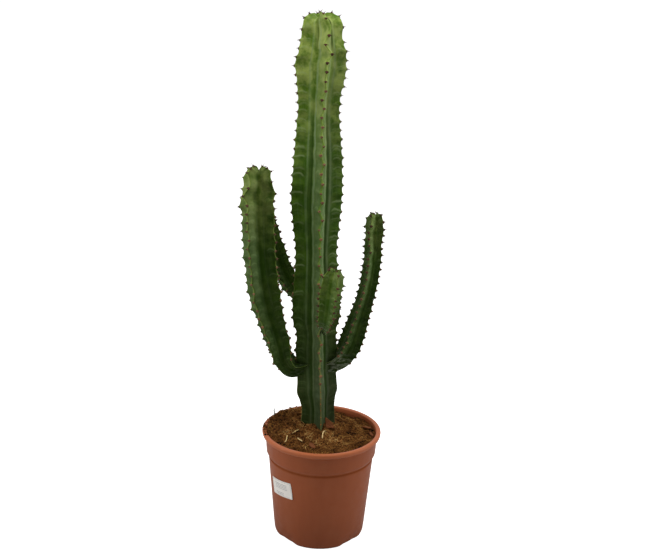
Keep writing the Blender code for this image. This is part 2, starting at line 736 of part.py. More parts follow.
def make_euphorbia(collection, cutters):
    """The plant: the trunk joined with its four arms in one solid."""
    finish = plain_material("euphorbia_skin", (0.060, 0.130, 0.035), 0.5)
    trunk = Loft(Stem(TRUNK, **TRUNK_GROWTH), "euphorbia").mesh
    plant = add_object("euphorbia", trunk, collection, finish)
    arms = bpy.data.collections.new("arms")
    cutters.children.link(arms)
    for name, sections, growth in ARMS:
        add_object(name, Loft(Stem(sections, **growth), name).mesh, arms, None)
    union = plant.modifiers.new("Join arms", "BOOLEAN")
    union.operation = "UNION"
    union.operand_type = "COLLECTION"
    union.collection = arms
    union.solver = "EXACT"
    freeze(plant)
    for arm in list(arms.objects):
        bpy.data.objects.remove(arm, do_unlink=True)
    bpy.data.collections.remove(arms)
    plant.data.shade_flat()
    return plant


def make_label(collection):
    """The paper label, curved round the pot's side."""
    finish = plain_material("label_paper", (0.72, 0.70, 0.66), 0.6)
    columns, rows = LABEL_COLUMNS, LABEL_ROWS
    tilt = math.radians(LABEL_TILT)
    points = []
    for row in range(rows + 1):
        for column in range(columns + 1):
            along = LABEL_WIDTH * (column / columns - 0.5)
            up = LABEL_HEIGHT * (row / rows - 0.5)
            turned = along * math.cos(tilt) - up * math.sin(tilt)
            height = LABEL_MIDDLE_HEIGHT + along * math.sin(tilt) + up * math.cos(tilt)
            radius = pot_outer_radius(height) + LABEL_GAP
            angle = math.radians(LABEL_ANGLE) + turned / radius
            points.append(Vector((radius * math.cos(angle), radius * math.sin(angle), height)))
    faces = []
    for row in range(rows):
        for column in range(columns):
            corner = row * (columns + 1) + column
            faces.append((corner, corner + 1, corner + columns + 2, corner + columns + 1))
    mesh = bpy.data.meshes.new("label")
    mesh.from_pydata(points, [], faces)
    label = add_object("label", mesh, collection, finish)
    shell = label.modifiers.new("Paper", "SOLIDIFY")
    shell.thickness = LABEL_THICKNESS
    shell.offset = 1.0
    return label


def world_shape(thing):
    """The points and faces of an object as it stands in the world."""
    graph = bpy.context.evaluated_depsgraph_get()
    shown = thing.evaluated_get(graph)
    mesh = shown.to_mesh()
    points = [thing.matrix_world @ vertex.co for vertex in mesh.vertices]
    faces = [tuple(face.vertices) for face in mesh.polygons]
    edges = [tuple(edge.vertices) for edge in mesh.edges]
    shown.to_mesh_clear()
    return points, faces, edges


def surface_below(ground, x, y):
    """Where a plumb line meets the soil, and the slope there."""
    return ground.ray_cast(Vector((x, y, 1.0)), Vector((0.0, 0.0, -1.0)))[:2]


def lower_onto(thing, ground):
    """Lower a small piece until it lies just clear of the soil."""
    bpy.context.view_layer.update()
    points, faces, edges = world_shape(thing)
    tests = list(points)
    for low, high in edges:
        tests += [points[low].lerp(points[high], step / 8) for step in range(1, 8)]
    room = [test.z - surface_below(ground, test.x, test.y)[0].z for test in tests]
    piece = BVHTree.FromPolygons(points, faces)
    spots = {(round(test.x, 3), round(test.y, 3)) for test in tests}
    for x, y in spots:
        top = surface_below(ground, x, y)[0]
        hit = piece.ray_cast(Vector((x, y, 0.0)), Vector((0, 0, 1)))[0]
        if hit is not None:
            room.append(hit.z - top.z)
    thing.location.z -= min(room) - 1.3 * GAP
    bpy.context.view_layer.update()


def chip_shape(name, outline, finish, collection):
    """A flat piece of bark with this outline."""
    curve = bpy.data.curves.new(name, "CURVE")
    curve.dimensions = "2D"
    curve.fill_mode = "BOTH"
    curve.extrude = CHIP_THICKNESS / 2
    edge = curve.splines.new("POLY")
    edge.points.add(len(outline) - 1)
    for spot, (x, y) in zip(edge.points, outline):
        spot.co = (x, y, 0.0, 1.0)
    edge.use_cyclic_u = True
    return add_object(name, curve, collection, finish)


def make_bark_chips(collection, ground):
    """Three chips that lie on the soil and one that leans at the foot of the stem."""
    finish = plain_material("bark", (0.150, 0.052, 0.022), 0.85)
    for index, (x, y, length, width, turn) in enumerate(CHIPS):
        outline = [(length * along, width * over) for along, over in CHIP_OUTLINE]
        chip = chip_shape(f"bark_chip_{index + 1}", outline, finish, collection)
        slope = surface_below(ground, x, y)[1]
        lie = Vector((0.0, 0.0, 1.0)).rotation_difference(slope)
        spin = Vector((math.cos(math.radians(turn)), math.sin(math.radians(turn)), 0.0))
        spin = Vector((1.0, 0.0, 0.0)).rotation_difference(spin)
        chip.rotation_euler = (lie @ spin).to_euler()
        chip.location = (x, y, POT_HEIGHT + 0.05)
        lower_onto(chip, ground)
    width, height = LEANING_CHIP_SIZE
    outline = [(width * over, height * up) for over, up in LEANING_CHIP_OUTLINE]
    chip = chip_shape(f"bark_chip_{len(CHIPS) + 1}", outline, finish, collection)
    chip.rotation_euler = (math.radians(90 - LEANING_CHIP_LEAN), 0.0, 0.0)
    chip.location = (*LEANING_CHIP_PLACE, POT_HEIGHT + 0.05)
    lower_onto(chip, ground)


def make_straws(collection, ground):
    """Pale root and straw bits that follow the soil."""
    finish = plain_material("dry_straw", (0.62, 0.47, 0.24), 0.7)
    beside = (-0.55 * STRAW_DIAMETER, 0.0, 0.55 * STRAW_DIAMETER)
    for index, route in enumerate(STRAWS):
        knots = [Vector((*spot, 0.0, STRAW_DIAMETER)) for spot in route]
        line = spline(knots, 4)
        curve = bpy.data.curves.new(f"straw_{index + 1}", "CURVE")
        curve.dimensions = "3D"
        curve.bevel_depth = STRAW_DIAMETER / 2
        curve.bevel_resolution = 2
        curve.use_fill_caps = True
        thread = curve.splines.new("POLY")
        thread.points.add(len(line) - 1)
        for spot, place in zip(thread.points, line):
            near = [surface_below(ground, place.x + dx, place.y + dy)[0].z
                    for dx in beside for dy in beside]
            spot.co = (place.x, place.y, max(near) + STRAW_DIAMETER, 1.0)
        straw = add_object(f"straw_{index + 1}", curve, collection, finish)
        lower_onto(straw, ground)


def make_part():
    """Model every piece of the object."""
    clear_scene()
    collection = new_collection(OBJECT_NAME)
    cutters = new_collection("cutters")
    make_pot(collection, cutters)
    soil = make_soil(collection, cutters)
    make_euphorbia(collection, cutters)
    make_label(collection)
    bpy.context.view_layer.update()
    ground = BVHTree.FromObject(soil, bpy.context.evaluated_depsgraph_get())
    make_bark_chips(collection, ground)
    make_straws(collection, ground)


make_part()
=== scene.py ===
import math
import random
from contextlib import contextmanager

import bmesh
import bpy
import numpy as np
from mathutils import Matrix, Vector, noise


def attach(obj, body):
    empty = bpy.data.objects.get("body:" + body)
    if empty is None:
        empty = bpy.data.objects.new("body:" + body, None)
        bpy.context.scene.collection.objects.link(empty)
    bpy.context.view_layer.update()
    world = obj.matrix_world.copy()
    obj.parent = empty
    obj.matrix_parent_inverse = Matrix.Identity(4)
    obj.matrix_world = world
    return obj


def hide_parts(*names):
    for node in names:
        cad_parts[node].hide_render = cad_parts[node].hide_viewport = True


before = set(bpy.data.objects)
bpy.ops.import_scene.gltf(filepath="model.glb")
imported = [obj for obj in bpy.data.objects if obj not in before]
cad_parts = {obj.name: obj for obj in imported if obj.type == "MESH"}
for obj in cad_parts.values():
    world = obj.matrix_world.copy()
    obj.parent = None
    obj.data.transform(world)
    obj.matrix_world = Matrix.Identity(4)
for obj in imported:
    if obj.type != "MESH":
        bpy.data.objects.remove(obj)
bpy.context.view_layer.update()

# Camera of the photograph, which was held at a slight roll
CAMERA_PLACE = (0.0058, -1.3, 0.7983)
CAMERA_TILT = 75.675
CAMERA_ROLL = 1.66
CAMERA_LENS = 43.42
CAMERA_SENSOR = 36.0

# Light: the surroundings behind the camera and elsewhere, the floor's glow in the picture, and each
# lamp's place, target, size and power
FRONT_WALL = 0.13
SIDE_WALL = 0.68
FLOOR_GLOW = 1.0
LAMPS = (("left_box", (-1.5, -0.55, 0.9), (0, 0, 0.42), (0.8, 1.4), 10),
         ("right_box", (1.6, -0.25, 0.8), (0, 0, 0.42), (0.7, 1.4), 8),
         ("top_box", (0.1, -0.3, 1.9), (0, 0, 0.3), (1.2, 1.0), 11))

# Pot
POT_HEIGHT = 0.193
RIM_RADIUS = 0.105
LIP_HEIGHT = 0.009
LIP_ROUND = 0.003
LIP_INNER_ROUND = 0.0022
# The lip's underside, by how far in from the rim and how far over the lip's foot
LIP_UNDERSIDE = ((0.0005, 0.0026), (0.0011, 0.0012), (0.0022, 0.0002), (0.0034, -0.0003),
                 (0.005, -0.0008), (0.0063, -0.002))
COLLAR_RADIUS_TOP = 0.0985
COLLAR_RADIUS_LOW = 0.097
COLLAR_DEPTH = 0.04
STEP_HEIGHT = 0.006
BODY_RADIUS_TOP = 0.0938
BODY_RADIUS_LOW = 0.0807
BASE_ROUND = 0.006
WALL = 0.0016
FLOOR = 0.0024
POT_SEGMENTS = 192
DRAIN_COUNT = 8
DRAIN_DIAMETER = 0.011
DRAIN_CIRCLE = 0.105
DRAIN_SEGMENTS = 40
DENT_DEPTH = 0.004
DENT_ANGLES = (45, 135, 225, 315)
DENT_HALF_ANGLE = 20
DENT_HEIGHT = 0.014
WALL_WAVER = 0.00035

# Label
LABEL_WIDTH = 0.0515
LABEL_HEIGHT = 0.03
LABEL_THICKNESS = 0.0003
LABEL_GAP = 0.0003
LABEL_ANGLE = 222.5
LABEL_MIDDLE_HEIGHT = 0.1063
LABEL_TILT = 7
LABEL_ROUND = 0.0012
LABEL_CORNER_LIFT = 0.0011

# Soil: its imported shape, waves in it, hollows by place, size and depth, the crumbs with the part of the
# lip in degrees that some lie on, and the fibres, which are longer on the right
SOIL_EDGE_HEIGHT = 0.1847
SOIL_MOUND_HEIGHT = 0.017
SOIL_MOUND_SPREAD = 0.055
SOIL_BACK_LEFT_RISE = 0.0115
SOIL_RISE_ANGLE = 155
SOIL_LUMP = 0.0009
SOIL_WAVES = ((310, 90, 0.4), (-120, 270, 2.1), (190, -250, 4.0))
SOIL_CELLS = 190
SOIL_ROUGHNESS = 0.0023
LUMPS_PER_METRE = 95.0
CELLS_PER_METRE = 210.0
SOIL_EDGE_GAP = 0.0005
CRUMB_COUNT = 2300
FIBRE_COUNT = 2600
HOLLOWS = ((0.043, 0.08, 0.011, 0.005), (0.057, 0.072, 0.01, 0.005), (0.074, 0.036, 0.009, 0.0045),
           (0.033, 0.084, 0.007, 0.0035), (0.08, 0.006, 0.01, 0.003), (0.02, 0.058, 0.008, 0.003))
CRUMB_SIZE = (0.0006, 0.0021)
LIP_CRUMBS = (115, 200)
LIP_CRUMB_EVERY = 18
LIP_CRUMB_PLACE = (0.0975, 0.1035)
LIP_CRUMB_LIFT = 0.0002
CRUMB_LIFT = 0.15
CRUMB_EDGE_GAP = 0.003
FIBRE_SHORTEST = 0.004
FIBRE_SPARE_LEFT = 0.013
FIBRE_SPARE_RIGHT = 0.022
FIBRE_WIDTH = (0.00016, 0.0003)
FIBRE_EDGE_GAP = 0.002
FIBRE_BEND = 1.3
FIBRE_TILT = 0.22
FIBRE_LIFT = 0.0005
FIBRE_WAVE = 0.0007
FIBRE_SUNK = -0.0003
STEM_CLEARANCE = 0.017

# Stems: each section is the centre of the stem and the radius to its rib crests
RIBS = 4
SAMPLES_PER_SECTION = 24
LEAN = 1.66
LEAN_FROM = 0.2
TRUNK = (
    (-0.0068, 0.013, 0.12, 0.0308), (-0.0068, 0.013, 0.16, 0.0308), (-0.0068, 0.013, 0.2, 0.0306),
    (-0.0064, 0.013, 0.226, 0.0294), (-0.0072, 0.013, 0.245, 0.0322), (-0.0078, 0.013, 0.259, 0.0362),
    (-0.008, 0.012, 0.279, 0.035), (-0.0089, 0.012, 0.302, 0.035), (-0.0089, 0.012, 0.3365, 0.037),
    (-0.0087, 0.011, 0.368, 0.035), (-0.0087, 0.011, 0.387, 0.0406), (-0.0082, 0.011, 0.419, 0.042),
    (-0.0082, 0.01, 0.453, 0.0392), (-0.0082, 0.01, 0.487, 0.0366), (-0.008, 0.01, 0.5185, 0.0358),
    (-0.0076, 0.009, 0.5595, 0.0398), (-0.007, 0.009, 0.6, 0.043), (-0.005, 0.008, 0.64, 0.042),
    (-0.004, 0.008, 0.6795, 0.0396), (-0.0036, 0.007, 0.717, 0.0362), (-0.0024, 0.007, 0.7545, 0.0342),
    (0.0, 0.006, 0.792, 0.0392), (0.0016, 0.006, 0.8165, 0.0424), (0.003, 0.006, 0.839, 0.0382),
    (0.0038, 0.006, 0.8565, 0.0346), (0.003, 0.006, 0.8725, 0.0338),
)
LEFT_ARM = (
    (-0.022, 0.009, 0.309, 0.0115), (-0.038, 0.005, 0.3055, 0.0148), (-0.0515, 0.002, 0.3075, 0.0186),
    (-0.0618, -0.001, 0.319, 0.0196), (-0.07, -0.004, 0.3355, 0.0232), (-0.077, -0.008, 0.3635, 0.0258),
    (-0.0845, -0.011, 0.3925, 0.0272), (-0.091, -0.012, 0.4185, 0.0302), (-0.096, -0.013, 0.4475, 0.0322),
    (-0.0995, -0.014, 0.4825, 0.031), (-0.102, -0.014, 0.5175, 0.0318), (-0.103, -0.014, 0.567, 0.0314),
    (-0.103, -0.013, 0.605, 0.0332), (-0.1015, -0.012, 0.6245, 0.0298), (-0.1005, -0.012, 0.6395, 0.0276),
)
RIGHT_ARM = (
    (0.006, 0.016, 0.304, 0.013), (0.024, 0.018, 0.3105, 0.017), (0.0372, 0.022, 0.3205, 0.0198),
    (0.0475, 0.026, 0.336, 0.0214), (0.0545, 0.029, 0.353, 0.0214), (0.06, 0.03, 0.37, 0.0206),
    (0.066, 0.031, 0.389, 0.0188), (0.073, 0.031, 0.412, 0.017), (0.08, 0.031, 0.44, 0.0164),
    (0.0842, 0.031, 0.464, 0.0166), (0.0875, 0.031, 0.49, 0.0164), (0.0892, 0.031, 0.521, 0.0162),
    (0.0905, 0.031, 0.546, 0.0176), (0.0922, 0.031, 0.5615, 0.0162),
)
FRONT_ARM = (
    (0.002, -0.006, 0.375, 0.0075), (0.006, -0.022, 0.3865, 0.0112), (0.009, -0.034, 0.4, 0.0146),
    (0.0122, -0.043, 0.4185, 0.018), (0.0152, -0.049, 0.442, 0.0198), (0.0178, -0.053, 0.4625, 0.021),
    (0.0196, -0.055, 0.475, 0.0196), (0.0212, -0.056, 0.4825, 0.0165),
)
BACK_ARM = (
    (-0.0135, 0.024, 0.4045, 0.008), (-0.0215, 0.044, 0.4085, 0.012), (-0.0345, 0.055, 0.4185, 0.0162),
    (-0.0505, 0.061, 0.435, 0.0196), (-0.063, 0.064, 0.455, 0.021), (-0.074, 0.066, 0.479, 0.0206),
    (-0.085, 0.066, 0.512, 0.0206), (-0.0945, 0.066, 0.5445, 0.0198), (-0.0995, 0.066, 0.5655, 0.018),
)

# How each stem grows: its sections, its ribs' turn at the root, along it and at the tip, the gap between
# teeth, how far the margins wave, the bare length at the root, where the rounded foot and the old growth
# end, the rise and the tooth rows of its domed tip, and where its modelled skin starts
GROWTH = {
    "trunk": (TRUNK, 11, 11, 17, 0.013, 0.0047, 0.165, 0.22, 0.42, 0.66, 3, 0.052),
    "left_arm": (LEFT_ARM, -55, -27, -31, 0.0125, 0.0035, 0.046, 0.0, 0.12, 0.62, 3, 0.0),
    "right_arm": (RIGHT_ARM, -24, -24, -31, 0.0105, 0.002, 0.03, 0.0, 0.1, 0.7, 2, 0.0),
    "front_arm": (FRONT_ARM, 26, 26, 26, 0.0095, 0.0015, 0.028, 0.0, 0.0, 0.85, 2, 0.0),
    "back_arm": (BACK_ARM, -25, -25, -25, 0.0105, 0.002, 0.032, 0.0, 0.0, 0.7, 2, 0.0),
}

# Rib section, as shares of the crest radius, on green growth and on the rounded foot of the trunk
FLANK_SHARE = 0.62
FLANK_ANGLE = 14
VALLEY_SHARE = 0.5
FOOT_FLANK_SHARE = 0.65
FOOT_FLANK_ANGLE = 18
FOOT_VALLEY_SHARE = 0.58
FOOT_FADE = 0.1
MARGIN_STEPS = (0.0, 0.008, 0.03, 0.08, 0.18, 0.34, 0.55, 0.78, 1.0)
VALLEY_STEPS = (0.28, 0.55, 0.8, 1.0)
MARGIN_BULGE = 0.03
VALLEY_DENT = 0.028
FLANK_AT = 0.66

# Margins and tips
TOOTH = 0.0011
NOTCH = 0.0007
TOOTH_WIDTH = 0.2
TOOTH_SPREAD = 0.45
ZIGZAG_SHARE = 0.045
ROOT_TURN = (0.03, 0.09)
WAVE_LENGTH = 0.043
PITCH_STRETCH = 0.18
FLANK_FOLLOW = 0.45
TOOTH_START = 0.012
WAVE_START = 0.03
WAVE_LOW_SHARE = 0.22
WAVE_NEAR_TIP = (0.02, 0.11)
WAVE_STEP_PER_RIB = 1.9
WAVE_PHASE = -1.5
TIP_TURN_FROM = 0.8
TIP_PEAK_SHARE = 0.31
TIP_DIMPLE_SHARE = 0.21
TIP_FLANK_TURN = 14
ROWS_PER_TOOTH = 8
FLANK_TIP_BEND = 0.8
VALLEY_TIP_BEND = 0.9
# Factors that scatter the size of the teeth and of the veins by their number and rib
TOOTH_SCATTER = (78.233, 5.7)
VEIN_SCATTER = (12.9898, 4.1)
CROWN_STEPS = (0.78, 0.55, 0.32, 0.12, 0.0)

# Cross veins: rounded ridges that arch from each tooth down to the valley
VEIN_ARCH = 0.26
VEIN_PEAK = 0.38
VEIN_WIDTH = 0.13
VEIN_HEIGHT = 0.00032

# Each stem's look: how olive its tip is and how far down, its tone as painted light and shade, dark on faces
# that don't look sideways and bright on faces that do, its tone low down, and how much grey callus is at its
# root
LOOKS = {
    "trunk_skin": (1.0, 0.27, 1.2, 1.15, 0.72, 0.0),
    "left_arm_skin": (0.9, 0.13, 0.62, 1.36, 0.95, 0.25),
    "right_arm_skin": (0.45, 0.09, 0.66, 1.6, 0.7, 1.0),
    "front_arm_skin": (0.4, 0.08, 1.12, 1.15, 1.05, 0.9),
    "back_arm_skin": (0.25, 0.08, 0.8, 1.0, 0.9, 0.6),
}
LOW_TONE_TO = (0.08, 0.22)
# Tone of the trunk's ribs where they catch more or less light than their neighbours
BRIGHT_FLANK_TONE = 1.32
DULL_FLANK_TONE = 0.74
TIP_TONE = 1.16
TIP_TONE_REACH = (0.006, 0.045)
# How much of the painted sheen the arms keep low down
LOW_SHEEN = 0.45
# How far a face has to look sideways to get the painted sheen, paler and greyer as the waxy skin reflecting
# the bright sides, on the trunk and on the arms, the heights between which the trunk's skin grows old, how
# old the arms' is, and how far up their callus reaches
TRUNK_SHEEN_FACING = (0.4, 0.92)
ARM_SHEEN_FACING = (0.25, 0.85)
OLD_SKIN_HEIGHTS = (0.25, 0.55)
ARM_OLD = 0.25
CALLUS_REACH = (0.024, 0.05)

# Spines and the pads that carry them, and the small dots on the trunk's bare foot
SPINE_LENGTHS = (0.0054, 0.004, 0.0024)
SPINE_RADIUS = 0.00068
SPINE_SPLAY = 52
SPINE_DROOP = 8
PAD_SIZE = (0.0027, 0.0016, 0.001)
FOOT_DOT_SHARE = 0.4
FOOT_DOTS_FROM = 0.192
DOT_GAP = 0.004
PAD_SINK = 0.00015
SPINE_ROOT = (0.0002, 0.0004)
# Age of a tooth from 0 to 1: how it grows away from the tip, and on old growth of the trunk and of an arm,
# the ages of the three spine lengths, and from which age on some spines are lost
GROWN_AGE = 0.7
GROWN_REACH = (0.03, 0.2)
OLD_AGES = (0.8, 0.65)
SPINE_AGES = (0.0, 0.5, 0.8)
LOST_FROM_AGE = 0.75
LOST_SHARE = 0.35
# How much size, width, splay and droop vary
SIZE_SPREAD = 0.18
WIDTH_SPREAD = 0.2
SPLAY_SPREAD = 9
DROOP_SPREAD = 10

# Litter on the soil: how finely the chips are cut, the wisp's foot and each hair's reach and height
CHIP_CELL = 0.00045
WISP_FOOT = (-0.087, 0.047)
WISP_HAIRS = ((-0.006, 0.002, 0.016), (0.003, 0.004, 0.015), (0.0085, -0.001, 0.011),
              (-0.0015, 0.003, 0.018))
WISP_RADIUS = 0.00055
STRAW_SWELL = 0.0003
# The straws' fibres and the chips' layers and torn ends: how fine and how high, and where an end starts
STRAW_FIBRES = ((420.0, 0.00022), (1500.0, 0.00012))
STRAW_WANDER = (90.0, 0.0002)
# Without a seed of its own, noise_vector differs from run to run
STRAW_SEED = 35
BARK_LAYER = 0.00038
BARK_TEAR = 0.0011
TORN_FROM = 0.55
TORN_LENGTH = 0.45
BARK_THIN_END = 0.35
BARK_THIN_SIDE = 0.2

# Skin colours, as pairs that mix in patches, plain and with the painted sheen of faces that look sideways
MIDDLE_GREEN = ((0.03, 0.08, 0.002), (0.06, 0.124, 0.008))
MIDDLE_SHEEN = ((0.07, 0.12, 0.034), (0.096, 0.142, 0.048))
FRESH_GREEN = ((0.075, 0.145, 0.008), (0.29, 0.36, 0.082))
FRESH_SHEEN = ((0.135, 0.2, 0.036), (0.235, 0.29, 0.08))
AGED_GREEN = ((0.022, 0.04, 0.006), (0.036, 0.058, 0.014))
AGED_SHEEN = ((0.036, 0.056, 0.02), (0.062, 0.086, 0.04))

# Marks on the skin and on horn, where a pair goes from grown to young skin
VEIN_GREENS = ((0.16, 0.23, 0.085), (0.28, 0.35, 0.13))
MARGIN_GREENS = ((0.105, 0.18, 0.022), (0.2, 0.29, 0.055))
OLD_MARGIN = (0.18, 0.18, 0.06)
STREAK_GREEN = (0.11, 0.165, 0.066)
LINE_GREEN = (0.19, 0.25, 0.13)
# Painted shade: dark green in the valleys between the ribs, where shade falls in the crease
VALLEY_SHADE_GREEN = (0.014, 0.036, 0.002)
CALLUS_GREY = (0.23, 0.26, 0.18)
FOOT_DUST = (0.15, 0.11, 0.06)
HORN_GRAIN = (0.16, 0.1, 0.07)

# Colours of the pot, and of the label's paper and lines
POT_FLOW = ((0.312, 0.076, 0.023), (0.362, 0.094, 0.031))
POT_RIM_LIGHT = (0.58, 0.172, 0.066)
POT_CREASE_SHADE = (0.11, 0.028, 0.01)
POT_DUST = (0.42, 0.2, 0.11)
POT_SPECK = (0.045, 0.02, 0.012)
PAPER = (0.94, 0.905, 0.84)
INK = (0.12, 0.14, 0.18)

# Runs of colour, by the place in the run and the colour there
PEAT_STOPS = ((0.34, (0.01, 0.003, 0.001)), (0.48, (0.085, 0.03, 0.007)), (0.6, (0.23, 0.092, 0.024)),
              (0.72, (0.42, 0.205, 0.064)))
BARK_STOPS = ((0.3, (0.045, 0.014, 0.005)), (0.5, (0.185, 0.062, 0.022)), (0.66, (0.31, 0.12, 0.048)),
              (0.8, (0.45, 0.23, 0.11)))
SPINE_STOPS = ((0.0, (0.06, 0.02, 0.012)), (0.5, (0.14, 0.07, 0.044)), (0.8, (0.22, 0.15, 0.095)))
PAD_STOPS = ((0.0, (0.1, 0.048, 0.024)), (0.5, (0.19, 0.105, 0.056)), (0.8, (0.235, 0.11, 0.05)),
             (1.0, (0.42, 0.13, 0.05)))
CRUMB_STOPS = ((0.0, (0.012, 0.004, 0.001)), (0.35, (0.075, 0.025, 0.006)), (0.7, (0.22, 0.088, 0.022)),
               (1.0, (0.4, 0.19, 0.056)))
FIBRE_STOPS = ((0.0, (0.06, 0.02, 0.004)), (0.3, (0.2, 0.082, 0.018)), (0.7, (0.47, 0.235, 0.058)),
               (1.0, (0.82, 0.56, 0.21)))
STRAW_STOPS = ((0.0, (0.62, 0.41, 0.14)), (1.0, (0.88, 0.66, 0.31)))
WISP_STOPS = ((0.0, (0.09, 0.095, 0.05)), (1.0, (0.2, 0.19, 0.11)))


# Small helpers

def new_grid(name, columns, rows, size, uv_name):
    """A flat grid with a named UV map."""
    deselect_all()
    bpy.ops.mesh.primitive_grid_add(x_subdivisions=columns, y_subdivisions=rows, size=size)
    grid = bpy.context.object
    grid.name = name
    grid.data.uv_layers[0].name = uv_name
    return grid


def object_from(name, points, faces):
    """An object made of these points and faces."""
    mesh = bpy.data.meshes.new(name)
    mesh.from_pydata(points, [], faces)
    thing = bpy.data.objects.new(name, mesh)
    bpy.context.scene.collection.objects.link(thing)
    return thing


def deselect_all():
    """Leave no object selected or active."""
    for thing in bpy.context.selected_objects:
        thing.select_set(False)
    bpy.context.view_layer.objects.active = None


def only(thing):
    """Make one object the only one selected, and active."""
    deselect_all()
    thing.select_set(True)
    bpy.context.view_layer.objects.active = thing
    return thing


def apply_modifiers(thing):
    """Apply every modifier of an object, first to last."""
    only(thing)
    for modifier in list(thing.modifiers):
        bpy.ops.object.modifier_apply(modifier=modifier.name)


@contextmanager
def editing(thing, select="SELECT"):
    """Edit one object by its edges, with all or nothing selected at first."""
    only(thing)
    bpy.ops.object.mode_set(mode="EDIT")
    bpy.ops.mesh.select_mode(type="EDGE")
    bpy.ops.mesh.select_all(action=select)
    yield
    bpy.ops.object.mode_set(mode="OBJECT")


def freeze_place(thing):
    """Put an object's place, turn and size in its mesh."""
    only(thing)
    bpy.ops.object.transform_apply(location=True, rotation=True, scale=True)


def cut_along(thing, cuts):
    """Cut a straight rod across its length, by splitting only the edges that run up it."""
    with editing(thing, "DESELECT"):
        pass
    for edge in thing.data.edges:
        low, high = (thing.data.vertices[index].co.z for index in edge.vertices)
        edge.select = abs(high - low) > thing.dimensions.z / 2
    bpy.ops.object.mode_set(mode="EDIT")
    bpy.ops.mesh.subdivide(number_cuts=cuts)
    bpy.ops.object.mode_set(mode="OBJECT")


def merge_and_face_out(thing, distance=1e-6):
    """Close seams and poles, and turn every face outwards."""
    with editing(thing):
        bpy.ops.mesh.remove_doubles(threshold=distance)
        bpy.ops.mesh.normals_make_consistent(inside=False)


def smooth(thing, angle=None):
    """Shade smooth, with edges over the angle in degrees left sharp."""
    only(thing)
    if angle is None:
        bpy.ops.object.shade_smooth()
    else:
        bpy.ops.object.shade_smooth_by_angle(angle=math.radians(angle))


def finish_piece(thing, finish, node):
    """Give a piece its material, hang it under the root body, and hide the node of the frame that it stands
    for.
    """
    thing.data.materials.clear()
    thing.data.materials.append(finish)
    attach(thing, "root")
    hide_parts(node)
    return thing


def smoothstep(low, high, value):
    """0 below low, 1 above high, and a smooth rise between."""
    share = np.clip((value - low) / (high - low), 0.0, 1.0)
    return share * share * (3.0 - 2.0 * share)


def unit(vectors):
    """The same directions with length one."""
    return vectors / np.linalg.norm(vectors, axis=-1, keepdims=True)


def read_points(mesh):
    """A mesh's points as an array."""
    points = np.empty(len(mesh.vertices) * 3, np.float32)
    mesh.vertices.foreach_get("co", points)
    return points.reshape(-1, 3).astype(float)


def write_points(mesh, points):
    """Move a mesh's points."""
    mesh.vertices.foreach_set("co", np.asarray(points, np.float32).ravel())
    mesh.update()


def write_values(mesh, name, values):
    """Keep a number for each point under a name."""
    attribute = mesh.attributes.new(name, "FLOAT", "POINT")
    attribute.data.foreach_set("value", np.asarray(values, np.float32).ravel())


# Node helpers for the materials

class Nodes:
    """Adds and links nodes in a tree, briefly."""

    def __init__(self, tree):
        self.tree = tree

    def add(self, kind, inputs=None, **settings):
        """A node with these settings, and a value or a link for each named input."""
        node = self.tree.nodes.new(kind)
        for name, value in settings.items():
            setattr(node, name, value)
        for key, value in (inputs or {}).items():
            self.feed(node.inputs[key], value)
        return node

    def feed(self, socket, value):
        """Link an output to a socket, or set its value."""
        if isinstance(value, bpy.types.NodeSocket):
            self.tree.links.new(value, socket)
        elif isinstance(value, tuple) and len(value) == 3 and socket.type == "RGBA":
            socket.default_value = (*value, 1.0)
        else:
            socket.default_value = value

    def math(self, operation, first, second=0.0, clamp=False):
        """A Math node's output."""
        node = self.add("ShaderNodeMath", operation=operation, use_clamp=clamp)
        for socket, value in zip(node.inputs, (first, second)):
            self.feed(socket, value)
        return node.outputs[0]

    def times(self, first, second, clamp=False):
        """Two values multiplied."""
        return self.math("MULTIPLY", first, second, clamp=clamp)

    def plus(self, first, second):
        """Two values added."""
        return self.math("ADD", first, second)

    def minus(self, first, second):
        """The second value taken from the first."""
        return self.math("SUBTRACT", first, second)

    def away(self, value, middle):
        """How far a value is from the middle."""
        return self.math("ABSOLUTE", self.minus(value, middle))

    def grey(self, value):
        """A grey as bright as the value."""
        return self.add("ShaderNodeCombineColor", {"Red": value, "Green": value, "Blue": value}).outputs[0]

    def part(self, vector, axis):
        """One coordinate of a vector."""
        return self.add("ShaderNodeSeparateXYZ", {"Vector": vector}).outputs[axis]

    def bump(self, shader, height, strength, distance):
        """Relief from a height, put in the shader's normal."""
        relief = self.add("ShaderNodeBump", {"Height": height, "Strength": strength, "Distance": distance})
        self.feed(shader["Normal"], relief.outputs[0])

    def mix(self, factor, first, second, blend="MIX"):
        """A colour mix's output."""
        node = self.add("ShaderNodeMix", data_type="RGBA", blend_type=blend)
        self.feed(node.inputs[0], factor)
        self.feed(node.inputs[6], first)
        self.feed(node.inputs[7], second)
        return node.outputs[2]

    def rise(self, value, low, high, start=0.0, end=1.0):
        """A smooth rise from start to end while the value goes from low to high."""
        node = self.add("ShaderNodeMapRange", {"Value": value, "From Min": low, "From Max": high,
                                               "To Min": start, "To Max": end},
                        interpolation_type="SMOOTHSTEP")
        return node.outputs[0]

    def ramp(self, value, stops):
        """A colour ramp through (position, colour) stops."""
        node = self.add("ShaderNodeValToRGB", {"Fac": value})
        ramp = node.color_ramp
        while len(ramp.elements) < len(stops):
            ramp.elements.new(1.0)
        for element, (place, colour) in zip(ramp.elements, stops):
            element.position = place
            element.color = (*colour, 1.0)
        return node.outputs[0]

    def place(self, scale=(1.0, 1.0, 1.0)):
        """Object coordinates, stretched by the scale."""
        where = self.add("ShaderNodeTexCoord").outputs["Object"]
        return self.add("ShaderNodeMapping", {"Vector": where, "Scale": scale}).outputs[0]

    def value(self, name):
        """The number that the mesh keeps under this name."""
        return self.add("ShaderNodeAttribute", attribute_name=name).outputs["Fac"]

    def noise(self, vector, scale, detail=3.0, roughness=0.5):
        """A noise texture's value."""
        return self.add("ShaderNodeTexNoise", {"Vector": vector, "Scale": scale, "Detail": detail,
                                               "Roughness": roughness}).outputs["Fac"]


